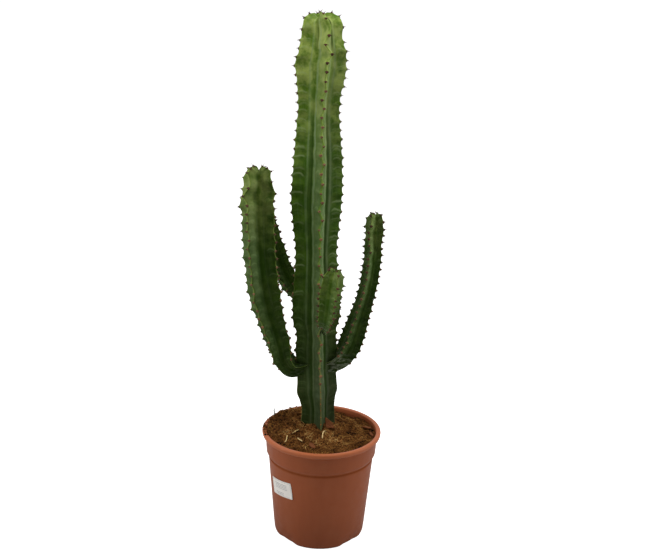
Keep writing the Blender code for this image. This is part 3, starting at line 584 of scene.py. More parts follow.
def new_group(name, inputs, outputs):
    """A shader node group with (name, kind, value) inputs and (name, kind) outputs."""
    group = bpy.data.node_groups.new(name, "ShaderNodeTree")
    for label, kind, value in inputs:
        socket = group.interface.new_socket(label, in_out="INPUT", socket_type="NodeSocket" + kind)
        if value is not None:
            socket.default_value = (*value, 1.0) if kind == "Color" else value
    for label, kind in outputs:
        group.interface.new_socket(label, in_out="OUTPUT", socket_type="NodeSocket" + kind)
    nodes = Nodes(group)
    start = nodes.add("NodeGroupInput")
    end = nodes.add("NodeGroupOutput")
    return nodes, start.outputs, end.inputs


def new_finish(name, roughness, specular):
    """A material with its Principled shader, and the helper that adds nodes to it."""
    finish = bpy.data.materials.new(name)
    finish.use_nodes = True
    nodes = Nodes(finish.node_tree)
    shader = finish.node_tree.nodes["Principled BSDF"]
    shader.inputs["Roughness"].default_value = roughness
    shader.inputs["Specular IOR Level"].default_value = specular
    return finish, nodes, shader.inputs


def use_group(nodes, group, **values):
    """Place a node group with its own values, underscores standing for spaces."""
    named = {name.replace("_", " ").capitalize(): value for name, value in values.items()}
    return nodes.add("ShaderNodeGroup", named, node_tree=group).outputs


# Shared effects

def make_mottle_group():
    """Soft patches that darken and lighten a colour, with fine grain on top."""
    nodes, start, end = new_group(
        "mottled colour",
        [("Colour", "Color", (0.5, 0.5, 0.5)), ("Patch size", "Float", 30.0),
         ("Patch strength", "Float", 0.3), ("Grain size", "Float", 400.0),
         ("Grain strength", "Float", 0.1), ("Place", "Vector", None)],
        [("Colour", "Color"), ("Grain", "Float")])
    patch = nodes.noise(start["Place"], start["Patch size"], 4.0, 0.6)
    grain = nodes.noise(start["Place"], start["Grain size"], 3.0, 0.6)
    swing = nodes.times(nodes.minus(patch, 0.5), start["Patch strength"])
    fine = nodes.times(nodes.minus(grain, 0.5), start["Grain strength"])
    total = nodes.plus(1.0, nodes.times(nodes.plus(swing, fine), 2.0))
    shade = nodes.grey(total)
    nodes.feed(end["Colour"], nodes.mix(1.0, start["Colour"], shade, "MULTIPLY"))
    nodes.feed(end["Grain"], grain)
    return nodes.tree


def make_dust_group():
    """Pale dust that settles in patches and towards the foot of a thing."""
    nodes, start, end = new_group(
        "settled dust",
        [("Amount", "Float", 0.3), ("Size", "Float", 20.0), ("Low", "Float", 0.0), ("High", "Float", 0.05),
         ("Place", "Vector", None)],
        [("Mask", "Float")])
    height = nodes.part(start["Place"], "Z")
    foot = nodes.rise(height, start["Low"], start["High"], 1.0, 0.0)
    patch = nodes.noise(start["Place"], start["Size"], 5.0, 0.65)
    spots = nodes.rise(patch, 0.45, 0.75)
    both = nodes.plus(nodes.times(foot, patch), nodes.times(spots, 0.5))
    nodes.feed(end["Mask"], nodes.times(both, start["Amount"], clamp=True))
    return nodes.tree


def make_vein_group():
    """Markings across and along a rib, by its share from margin to valley and its tooth count."""
    nodes, start, end = new_group(
        "rib markings",
        [("Rib", "Vector", None), ("Arch", "Float", VEIN_ARCH), ("Width", "Float", 0.15),
         ("Place", "Vector", None)],
        [(label, "Float") for label in ("Veins", "Lines", "Valley", "Streaks", "Margin")])
    rib = nodes.add("ShaderNodeSeparateXYZ", {"Vector": start["Rib"]})
    share, tooth = rib.outputs["X"], rib.outputs["Y"]
    wander = nodes.times(nodes.minus(nodes.noise(start["Place"], 70.0), 0.5), 0.6)
    inward = nodes.minus(nodes.math("DIVIDE", share, VEIN_PEAK), 1.0)
    curve = nodes.minus(nodes.times(inward, inward), 1.0)
    along = nodes.plus(nodes.plus(tooth, nodes.times(curve, start["Arch"])), wander)
    bands = []
    for shift, strength in ((0.0, 1.0), (0.31, 0.55)):
        moved = nodes.plus(along, shift + 0.5)
        number = nodes.math("FLOOR", moved)
        away = nodes.away(nodes.math("FRACT", moved), 0.5)
        line = nodes.rise(nodes.math("DIVIDE", away, start["Width"]), 0.1, 1.0, 1.0, 0.0)
        seed = nodes.add("ShaderNodeCombineXYZ", {"X": number, "Y": shift * 7.0})
        chance = nodes.add("ShaderNodeTexWhiteNoise", {"Vector": seed.outputs[0]}, noise_dimensions="3D")
        power = nodes.rise(chance.outputs["Value"], 0.2, 0.85, 0.08, 1.0)
        bands.append(nodes.times(nodes.times(line, power), strength))
    veins = nodes.math("MAXIMUM", bands[0], bands[1])
    inside = nodes.times(nodes.rise(share, 0.0, 0.07, 0.3, 1.0), nodes.rise(share, 0.6, 0.76, 1.0, 0.0))
    nodes.feed(end["Veins"], nodes.times(veins, inside))
    stretched = nodes.add("ShaderNodeVectorMath", {0: start["Rib"], 1: (30.0, 0.22, 1.0)},
                          operation="MULTIPLY")
    streak = nodes.noise(stretched.outputs[0], 1.0, 3.0, 0.7)
    line = nodes.rise(nodes.away(share, 0.82), 0.015, 0.09, 1.0, 0.0)
    nodes.feed(end["Lines"], nodes.times(line, nodes.rise(streak, 0.3, 0.6, 0.25, 1.0)))
    # Where the valley's painted shade goes
    nodes.feed(end["Valley"], nodes.rise(share, 0.85, 0.95))
    near = nodes.times(nodes.rise(share, 0.1, 0.4), nodes.rise(share, 0.8, 0.88, 1.0, 0.0))
    nodes.feed(end["Streaks"], nodes.times(nodes.rise(streak, 0.46, 0.68), near))
    nodes.feed(end["Margin"], nodes.rise(share, 0.015, 0.095, 1.0, 0.0))
    return nodes.tree


# Materials

def make_skin_finish(groups):
    """Waxy green skin: olive at the young tips, dark in the middle, bluish grey at the foot, with painted
    sheen on faces that look sideways, painted shade in the valleys and a tone of painted light and shade.
    """
    finish, nodes, shader = new_finish("plant_skin", 0.45, 0.04)
    place = nodes.place()
    rib = nodes.add("ShaderNodeUVMap", uv_map="rib").outputs[0]
    young, old = nodes.value("young"), nodes.value("old")
    root, banded = nodes.value("root"), nodes.value("banded")
    painted_sheen = nodes.value("painted_sheen")
    marks = use_group(nodes, groups["veins"], rib=rib, arch=VEIN_ARCH, width=0.19, place=place)
    patches = nodes.rise(nodes.noise(place, 42.0, 4.0, 0.6), 0.38, 0.62)
    middle = nodes.mix(patches, *MIDDLE_GREEN)
    lit_middle = nodes.mix(patches, *MIDDLE_SHEEN)
    fresh = nodes.mix(patches, *FRESH_GREEN)
    lit_fresh = nodes.mix(patches, *FRESH_SHEEN)
    aged = nodes.mix(patches, *AGED_GREEN)
    lit_aged = nodes.mix(patches, *AGED_SHEEN)
    # Painted sheen: faces that look sideways take the paler, greyer colours
    green = nodes.mix(young, nodes.mix(painted_sheen, middle, lit_middle), nodes.mix(painted_sheen, fresh, lit_fresh))
    green = nodes.mix(old, green, nodes.mix(painted_sheen, aged, lit_aged))
    green = nodes.mix(nodes.times(marks["Streaks"], 0.35), green, STREAK_GREEN)
    pale = nodes.mix(young, *VEIN_GREENS)
    strength = nodes.times(marks["Veins"], nodes.rise(old, 0.0, 1.0, 1.0, 0.15))
    strength = nodes.times(strength, nodes.rise(young, 0.0, 1.0, 1.0, 0.4))
    strength = nodes.times(strength, nodes.rise(banded, 0.0, 1.0, 0.3, 1.0))
    green = nodes.mix(strength, green, pale)
    lined = nodes.value("lined")
    faded = nodes.times(lined, nodes.rise(old, 0.3, 1.0, 0.6, 0.22))
    lines = nodes.times(marks["Lines"], faded)
    green = nodes.mix(lines, green, LINE_GREEN)
    # Painted shade in the valleys, weaker on young skin and strong in the deep slits at the very tip
    along = nodes.rise(young, 0.0, 1.0, 0.95, 0.25)
    depth = nodes.math("MAXIMUM", along, nodes.rise(young, 0.965, 1.0, 0.0, 0.8))
    valley = nodes.times(marks["Valley"], depth)
    green = nodes.mix(nodes.times(valley, lined), green, VALLEY_SHADE_GREEN)
    edge = nodes.mix(young, *MARGIN_GREENS)
    edge = nodes.mix(old, edge, OLD_MARGIN)
    green = nodes.mix(nodes.times(marks["Margin"], 0.75), green, edge)
    # The tone multiplies the colour: painted light and shade by how a face looks, and by rib and height
    tone = nodes.value("tone")
    shade = nodes.grey(tone)
    green = nodes.mix(1.0, green, shade, "MULTIPLY")
    streaks = nodes.noise(nodes.place((0.35, 1.0, 1.0)), 210.0, 4.0, 0.7)
    callus = nodes.times(root, nodes.rise(streaks, 0.44, 0.6))
    green = nodes.mix(nodes.times(callus, 0.75), green, CALLUS_GREY)
    mottled = use_group(nodes, groups["mottle"], colour=green, patch_size=110.0, patch_strength=0.24,
                        grain_size=900.0, grain_strength=0.16, place=place)
    dust = use_group(nodes, groups["dust"], amount=0.22, size=55.0, low=0.185, high=0.215, place=place)
    skin = nodes.mix(dust["Mask"], mottled["Colour"], FOOT_DUST)
    nodes.feed(shader["Base Color"], skin)
    nodes.feed(shader["Roughness"], nodes.rise(mottled["Grain"], 0.2, 0.8, 0.4, 0.56))
    relief = nodes.plus(nodes.times(strength, 0.5), nodes.times(mottled["Grain"], 0.35))
    relief = nodes.plus(relief, nodes.times(marks["Streaks"], 0.25))
    nodes.bump(shader, relief, 0.5, 0.0006)
    return finish


def make_horn_finish(name, stops, roughness):
    """Horn that darkens with age, for spines or pads, with a shade of its own on each."""
    finish, nodes, shader = new_finish(name, roughness, 0.1)
    place = nodes.place()
    colour = nodes.ramp(nodes.value("age"), stops)
    shade = nodes.rise(nodes.value("shade"), 0.0, 1.0, 0.65, 1.35)
    colour = nodes.mix(1.0, colour, nodes.grey(shade), "MULTIPLY")
    grain = nodes.noise(place, 1500.0, 3.0, 0.6)
    colour = nodes.mix(nodes.rise(grain, 0.4, 0.8, 0.0, 0.5), colour, HORN_GRAIN)
    nodes.feed(shader["Base Color"], colour)
    nodes.bump(shader, grain, 0.4, 0.0003)
    return finish


def make_pot_finish(groups):
    """Terracotta-coloured moulded plastic with flow marks, handling marks and a little dust, with a painted
    lighter rim top and painted shade under the lip, at the collar's step and towards the bottom.
    """
    finish, nodes, shader = new_finish("pot_plastic", 0.44, 0.14)
    place = nodes.place()
    flow = nodes.noise(nodes.place((1.0, 1.0, 0.12)), 60.0, 4.0, 0.6)
    rings = nodes.noise(nodes.place((0.05, 0.05, 1.0)), 900.0, 2.0, 0.5)
    base = nodes.mix(flow, *POT_FLOW)
    height = nodes.part(place, "Z")
    # Painted light: the rim's top, which faces the lamps, lighter
    rim = nodes.rise(height, 0.178, 0.186)
    base = nodes.mix(nodes.times(rim, 0.6), base, POT_RIM_LIGHT)
    # Painted shade: darker towards the bottom, where less light falls
    low = nodes.rise(height, 0.0, 0.11, 0.8, 1.0)
    low_painted_shade = nodes.grey(low)
    base = nodes.mix(1.0, base, low_painted_shade, "MULTIPLY")
    # Painted shade: dark lines under the lip and at the collar's step, where shade falls
    step = nodes.away(height, POT_HEIGHT - COLLAR_DEPTH - STEP_HEIGHT)
    lip = nodes.away(height, POT_HEIGHT - LIP_HEIGHT)
    crease_shade = nodes.plus(nodes.rise(step, 0.0, 0.004, 0.42, 0.0), nodes.rise(lip, 0.0, 0.003, 0.32, 0.0))
    base = nodes.mix(crease_shade, base, POT_CREASE_SHADE)
    mottled = use_group(nodes, groups["mottle"], colour=base, patch_size=16.0, patch_strength=0.1,
                        grain_size=1400.0, grain_strength=0.05, place=place)
    scuffs = nodes.noise(nodes.place((1.0, 1.0, 0.35)), 210.0, 6.0, 0.75)
    scuff = nodes.rise(scuffs, 0.62, 0.74)
    dust = use_group(nodes, groups["dust"], amount=0.12, size=26.0, low=0.0, high=0.02, place=place)
    marks = nodes.math("MAXIMUM", nodes.times(scuff, 0.1), dust["Mask"])
    colour = nodes.mix(marks, mottled["Colour"], POT_DUST)
    specks = nodes.add("ShaderNodeTexVoronoi", {"Vector": place, "Scale": 34.0, "Randomness": 1.0})
    speck = nodes.rise(specks.outputs["Distance"], 0.018, 0.032, 1.0, 0.0)
    some = nodes.rise(nodes.noise(place, 12.0), 0.52, 0.6)
    speck = nodes.times(nodes.times(speck, some), 0.7)
    colour = nodes.mix(speck, colour, POT_SPECK)
    nodes.feed(shader["Base Color"], colour)
    rough = nodes.rise(nodes.noise(place, 75.0, 5.0, 0.7), 0.3, 0.7, 0.33, 0.47)
    nodes.feed(shader["Specular IOR Level"], nodes.rise(step, 0.0, 0.006, 0.0, 0.22))
    rough = nodes.plus(rough, nodes.rise(step, 0.0, 0.006, 0.4, 0.0))
    nodes.feed(shader["Roughness"], nodes.plus(rough, nodes.times(marks, 0.3)))
    relief = nodes.plus(nodes.times(rings, 0.5), nodes.times(mottled["Grain"], 0.4))
    nodes.bump(shader, relief, 0.25, 0.0003)
    return finish


def mottle_and_bump(nodes, shader, groups, colour, sizes, height, strength, distance):
    """Mottle a colour by (patch size, strength, grain size, strength), and raise a height or the grain."""
    patch_size, patch_strength, grain_size, grain_strength = sizes
    mottled = use_group(nodes, groups["mottle"], colour=colour, patch_size=patch_size,
                        patch_strength=patch_strength, grain_size=grain_size,
                        grain_strength=grain_strength, place=nodes.place())
    nodes.feed(shader["Base Color"], mottled["Colour"])
    nodes.bump(shader, mottled["Grain"] if height is None else height, strength, distance)


def make_soil_finish(groups):
    """Dark peat between the crumbs and fibres."""
    finish, nodes, shader = new_finish("peat", 0.95, 0.05)
    fine = nodes.noise(nodes.place(), 420.0, 6.0, 0.7)
    colour = nodes.ramp(fine, PEAT_STOPS)
    mottle_and_bump(nodes, shader, groups, colour, (60.0, 0.75, 2200.0, 0.5), fine, 0.9, 0.0012)
    return finish


def make_bits_finish(name, stops, groups, roughness=0.85):
    """Loose bits whose colour runs through the stops from piece to piece."""
    finish, nodes, shader = new_finish(name, roughness, 0.08)
    colour = nodes.ramp(nodes.value("shade"), stops)
    mottle_and_bump(nodes, shader, groups, colour, (160.0, 0.35, 900.0, 0.35), None, 0.5, 0.0004)
    return finish


def make_bark_finish(groups):
    """Reddish bark in thin layers, with pale torn fibres."""
    finish, nodes, shader = new_finish("bark", 0.82, 0.08)
    grain = nodes.add("ShaderNodeUVMap", uv_map="grain").outputs[0]
    stretched = nodes.add("ShaderNodeMapping", {"Vector": grain, "Scale": (140.0, 1400.0, 900.0)}).outputs[0]
    layers = nodes.noise(stretched, 1.0, 5.0, 0.7)
    colour = nodes.ramp(layers, BARK_STOPS)
    mottle_and_bump(nodes, shader, groups, colour, (120.0, 0.4, 1600.0, 0.3), layers, 0.8, 0.0006)
    return finish


def make_label_finish(groups):
    """White paper with a thin grey border and plain ruled lines."""
    finish, nodes, shader = new_finish("label_paper", 0.5, 0.2)
    sheet = nodes.add("ShaderNodeUVMap", uv_map="sheet").outputs[0]
    uv = nodes.add("ShaderNodeSeparateXYZ", {"Vector": sheet})
    along, up = uv.outputs["X"], uv.outputs["Y"]
    place = nodes.place()

    def between(value, low, high):
        over = nodes.math("GREATER_THAN", value, low)
        return nodes.times(over, nodes.math("LESS_THAN", value, high))

    inside = nodes.times(between(along, 0.035, 0.965), between(up, 0.06, 0.94))
    core = nodes.times(between(along, 0.042, 0.958), between(up, 0.072, 0.928))
    border = nodes.minus(inside, core)
    row = nodes.math("FRACT", nodes.times(up, 11.0))
    ruled = nodes.times(between(row, 0.36, 0.6), between(up, 0.455, 0.82))
    ruled = nodes.times(ruled, between(along, 0.2, 0.8))
    foot = nodes.times(between(row, 0.36, 0.6), between(up, 0.09, 0.27))
    foot = nodes.times(foot, between(along, 0.2, 0.62))
    ink = nodes.math("MAXIMUM", nodes.math("MAXIMUM", ruled, foot), nodes.times(border, 0.7))
    mottled = use_group(nodes, groups["mottle"], colour=PAPER, patch_size=40.0,
                        patch_strength=0.06, grain_size=2500.0, grain_strength=0.04, place=place)
    colour = nodes.mix(nodes.times(ink, 0.85), mottled["Colour"], INK)
    nodes.feed(shader["Base Color"], colour)
    nodes.bump(shader, mottled["Grain"], 0.15, 0.0002)
    return finish


def make_finishes():
    """Every material of the object."""
    groups = {"mottle": make_mottle_group(), "dust": make_dust_group(), "veins": make_vein_group()}
    return {
        "skin": make_skin_finish(groups),
        "spine": make_horn_finish("spine_horn", SPINE_STOPS, 0.45),
        "pad": make_horn_finish("areole_felt", PAD_STOPS, 0.8),
        "pot": make_pot_finish(groups),
        "peat": make_soil_finish(groups),
        "crumb": make_bits_finish("peat_crumbs", CRUMB_STOPS, groups),
        "fibre": make_bits_finish("coir_fibre", FIBRE_STOPS, groups, 0.7),
        "bark": make_bark_finish(groups),
        "straw": make_bits_finish("dry_straw", STRAW_STOPS, groups, 0.65),
        "wisp": make_bits_finish("dead_wisp", WISP_STOPS, groups),
        "label": make_label_finish(groups),
    }


# Stems

def spline(knots, steps):
    """A smooth run through the knots, with this many steps between two of them."""
    ends = np.vstack((2 * knots[0] - knots[1], knots, 2 * knots[-1] - knots[-2]))
    t = (np.arange(steps) / steps)[:, None]
    run = []
    for index in range(len(knots) - 1):
        before, start, end, after = ends[index:index + 4]
        line = 2 * start + (end - before) * t
        curve = (2 * before - 5 * start + 4 * end - after) * t ** 2
        bend = (3 * start - 3 * end + after - before) * t ** 3
        run.append((line + curve + bend) / 2)
    return np.vstack((*run, knots[-1:]))


def leaned(sections):
    """The sections with the plant's lean to the left from the soil up."""
    knots = np.array(sections, float)
    pivot = TRUNK[0][0]
    angle = math.radians(LEAN)
    over = knots[:, 2] > LEAN_FROM
    away, up = knots[over, 0] - pivot, knots[over, 2] - LEAN_FROM
    knots[over, 0] = pivot + away * math.cos(angle) - up * math.sin(angle)
    knots[over, 2] = LEAN_FROM + up * math.cos(angle) + away * math.sin(angle)
    return knots


class Stem:
    """A ribbed stem along a smooth line through its sections."""

    def __init__(self, sections, root_phase, phase, tip_phase, pitch, wave, bare, foot, old_growth,
                 tip_rise, tip_rows, start):
        self.root_phase, self.phase, self.tip_phase, self.foot = root_phase, phase, tip_phase, foot
        self.pitch, self.wave, self.bare, self.old_growth = pitch, wave, bare, old_growth
        self.tip_rise, self.tip_rows, self.start = tip_rise, tip_rows, start
        run = spline(leaned(sections), SAMPLES_PER_SECTION)
        self.centres, self.radii = run[:, :3], run[:, 3]
        steps = np.linalg.norm(np.diff(self.centres, axis=0), axis=1)
        self.distances = np.concatenate(([0.0], np.cumsum(steps)))
        self.length = self.distances[-1]
        self.carry_frames()
        self.place_teeth()

    def carry_frames(self):
        """Directions across the stem, carried from the tip down so that they don't twist."""
        ahead = np.vstack((self.centres[1:], self.centres[-1:]))
        behind = np.vstack((self.centres[:1], self.centres[:-1]))
        self.along = unit(ahead - behind)
        self.across = np.empty_like(self.along)
        across = np.array((1.0, 0.0, 0.0))
        for index in range(len(self.along) - 1, -1, -1):
            along = self.along[index]
            across = unit(across - across.dot(along) * along)
            self.across[index] = across

    def place_teeth(self):
        """The distance and the tip turn of each tooth row, counted on evenly over the bare root."""
        below = math.ceil(self.bare / self.pitch)
        places = [(max(0.0, self.bare - step * self.pitch), 0.0) for step in range(below, 0, -1)]
        distance = self.bare
        while distance < self.length - 0.4 * self.pitch:
            places.append((distance, 0.0))
            distance += self.pitch * (1.0 + PITCH_STRETCH * math.sin(math.pi * distance / self.length))
        places += [(self.length, 90 * (step + 1) / self.tip_rows) for step in range(self.tip_rows)]
        self.tooth_distance, self.tooth_turn = np.array(places).T

    def at(self, distance):
        """Centre, radius and directions at an array of distances from the root."""
        def read(values):
            if values.ndim == 1:
                return np.interp(distance, self.distances, values)
            return np.stack([np.interp(distance, self.distances, column) for column in values.T], axis=-1)

        across, along = unit(read(self.across)), unit(read(self.along))
        return read(self.centres), read(self.radii), across, np.cross(along, across), along

    def surface(self, tooth, rib, side, mix):
        """Points of the skin at a tooth count, on a rib, on its right (1) or left (-1), by a section mix.

        The mix holds the share from crest to flank, the share from flank to valley, and the bulge.
        Also gives the outward, sideways and along directions, the distance and the tip turn.
        """
        to_flank, to_valley, bulge = mix
        rows = np.arange(len(self.tooth_distance))
        distance = np.interp(tooth, rows, self.tooth_distance)
        turn = np.radians(np.interp(tooth, rows, self.tooth_turn))
        centre, radius, across, behind, along = self.at(distance)
        rise = self.tip_rise * radius
        dimple = rise - TIP_DIMPLE_SHARE * radius
        peak = TIP_PEAK_SHARE * radius
        grown = smoothstep(0.0, TOOTH_START, distance - self.bare)
        count = tooth + self.stagger(rib)
        number = np.round(count)
        near = np.exp(-((count - number) / TOOTH_WIDTH) ** 2)
        power = 1.0 + TOOTH_SPREAD * np.sin(TOOTH_SCATTER[0] * number + TOOTH_SCATTER[1] * rib)
        swell = grown * ((TOOTH * power + NOTCH) * near - NOTCH)
        crest_up = rise * np.sin(turn)
        crest = np.stack((peak + (radius - peak) * np.cos(turn) + swell, 0.0 * turn), axis=-1)
        rounded = 1.0 - smoothstep(self.foot - FOOT_FADE, self.foot, distance)
        wide = FLANK_ANGLE + (FOOT_FLANK_ANGLE - FLANK_ANGLE) * rounded
        spread = np.radians(wide + TIP_FLANK_TURN * turn / (math.pi / 2))
        flank_out = (FLANK_SHARE + (FOOT_FLANK_SHARE - FLANK_SHARE) * rounded) * radius
        flank_out = flank_out * np.cos(FLANK_TIP_BEND * turn)
        flank = flank_out[..., None] * np.stack((np.cos(spread), np.sin(spread)), -1)
        half = math.pi / RIBS
        valley_out = (VALLEY_SHARE + (FOOT_VALLEY_SHARE - VALLEY_SHARE) * rounded) * radius
        valley_out = valley_out * np.cos(VALLEY_TIP_BEND * turn)
        valley = valley_out[..., None] * np.array((math.cos(half), math.sin(half)))
        low_up = dimple * np.sin(turn)
        f, g, b = to_flank[..., None], to_valley[..., None], bulge[..., None]
        flat = np.where(g > 0, flank + g * (valley - flank), crest + f * (flank - crest))
        run = np.where(g > 0, valley - flank, flank - crest)
        out = unit(np.stack((run[..., 1], -run[..., 0]), axis=-1))
        thin = (0.55 + 0.45 * np.cos(turn)) * radius * (1.0 + 0.9 * near * grown * (to_valley == 0))
        vein = self.vein_height(count, to_flank, to_valley, rib) * grown
        flat = flat + b * out * thin[..., None] + vein[..., None] * out
        up = np.where(to_valley > 0, low_up, crest_up + (low_up - crest_up) * to_flank ** 1.3)
        follow = np.where(to_valley > 0, FLANK_FOLLOW * (1.0 - to_valley),
                          1.0 - (1.0 - FLANK_FOLLOW) * to_flank ** 0.8)
        zigzag = ZIGZAG_SHARE * grown * crest[..., 0] * np.cos(math.pi * count)
        sway = self.side_wave(distance + crest_up, rib) + zigzag
        phase = self.root_phase + (self.phase - self.root_phase) * smoothstep(*ROOT_TURN, distance)
        phase = phase + (self.tip_phase - self.phase) * smoothstep(TIP_TURN_FROM, 1.0, distance / self.length)
        angle = np.radians(-90 + phase + rib * 360 / RIBS)
        outward = np.cos(angle)[..., None] * across + np.sin(angle)[..., None] * behind
        sideways = np.cos(angle)[..., None] * behind - np.sin(angle)[..., None] * across
        points = centre + flat[..., :1] * outward + up[..., None] * along
        points = points + (side * flat[..., 1] + follow * sway)[..., None] * sideways
        facing = np.cos(turn)[..., None] * outward + np.sin(turn)[..., None] * along
        return points, facing, sideways, along, distance, turn

    def stagger(self, rib):
        """Ribs side by side have their teeth at different heights."""
        return 0.5 * (rib % 2)

    def vein_height(self, count, to_flank, to_valley, rib):
        """Rounded cross ridges that arch from each tooth to the flank."""
        reach = to_flank * FLANK_AT + to_valley * (1.0 - FLANK_AT)
        moved = count + VEIN_ARCH * ((reach / VEIN_PEAK - 1.0) ** 2 - 1.0)
        number = np.round(moved)
        line = np.exp(-((moved - number) / VEIN_WIDTH) ** 2)
        power = 0.55 + 0.45 * np.sin(VEIN_SCATTER[0] * number + VEIN_SCATTER[1] * rib)
        inside = np.sin(math.pi * np.clip(reach / (FLANK_AT + 0.06), 0.0, 1.0) ** 0.7)
        return VEIN_HEIGHT * line * power * inside

    def side_wave(self, distance, rib):
        """How far a rib's margin swings sideways, most near the tip."""
        grown = smoothstep(0.0, WAVE_START, distance - self.bare)
        near_tip = 1.0 - smoothstep(*WAVE_NEAR_TIP, self.length - distance)
        swing = self.wave * (WAVE_LOW_SHARE + (1.0 - WAVE_LOW_SHARE) * near_tip)
        swung = math.tau * distance / WAVE_LENGTH + WAVE_STEP_PER_RIB * rib + WAVE_PHASE
        return grown * swing * np.sin(swung)

    def rows(self):
        """The tooth counts of the skin's rows, from the start to the top of the ribs."""
        first = int(np.searchsorted(self.tooth_distance, self.start))
        gaps = len(self.tooth_distance) - 1 - first
        return first + np.arange(gaps * ROWS_PER_TOOTH + 1) / ROWS_PER_TOOTH


def section_columns():
    """For each column round the stem: its rib, its side and its place in the half section."""
    shares = [(share, 0.0) for share in MARGIN_STEPS] + [(1.0, share) for share in VALLEY_STEPS]
    last = len(shares) - 1
    columns = []
    for column in range(RIBS * 2 * last + 1):
        rib, step = divmod(column, 2 * last)
        if step > last:
            columns.append((rib + 1, -1, 2 * last - step))
        else:
            columns.append((rib, 1, step))
    rib, side, step = (np.array(part) for part in zip(*columns))
    rib = rib % RIBS
    to_flank, to_valley = np.array(shares)[step].T
    near = np.clip(to_flank / 0.15, 0.0, 1.0)
    bulge = MARGIN_BULGE * np.sqrt(1.0 - (1.0 - near) ** 2) * (1.0 - to_flank) ** 0.6
    bulge = np.where(to_valley > 0, -VALLEY_DENT * np.sin(math.pi * to_valley), bulge)
    return rib, side, (to_flank, to_valley, bulge)


def trunk_tone(rib, side, reach, from_tip):
    """How much brighter or duller a part of the trunk is than the rest, by rib, side and height: painted
    light and shade on the flanks that catch more or less light.
    """
    at_tip = 1.0 - smoothstep(*TIP_TONE_REACH, from_tip)
    flank = (1.0 - smoothstep(0.88, 1.0, reach)) * (1.0 - at_tip)
    bright = (rib == 0) & (side > 0)
    dull = (rib == 1) & (side < 0)
    tone = 1.0 + flank * (bright * (BRIGHT_FLANK_TONE - 1.0) + dull * (DULL_FLANK_TONE - 1.0))
    return tone * (1.0 + at_tip * (TIP_TONE - 1.0))


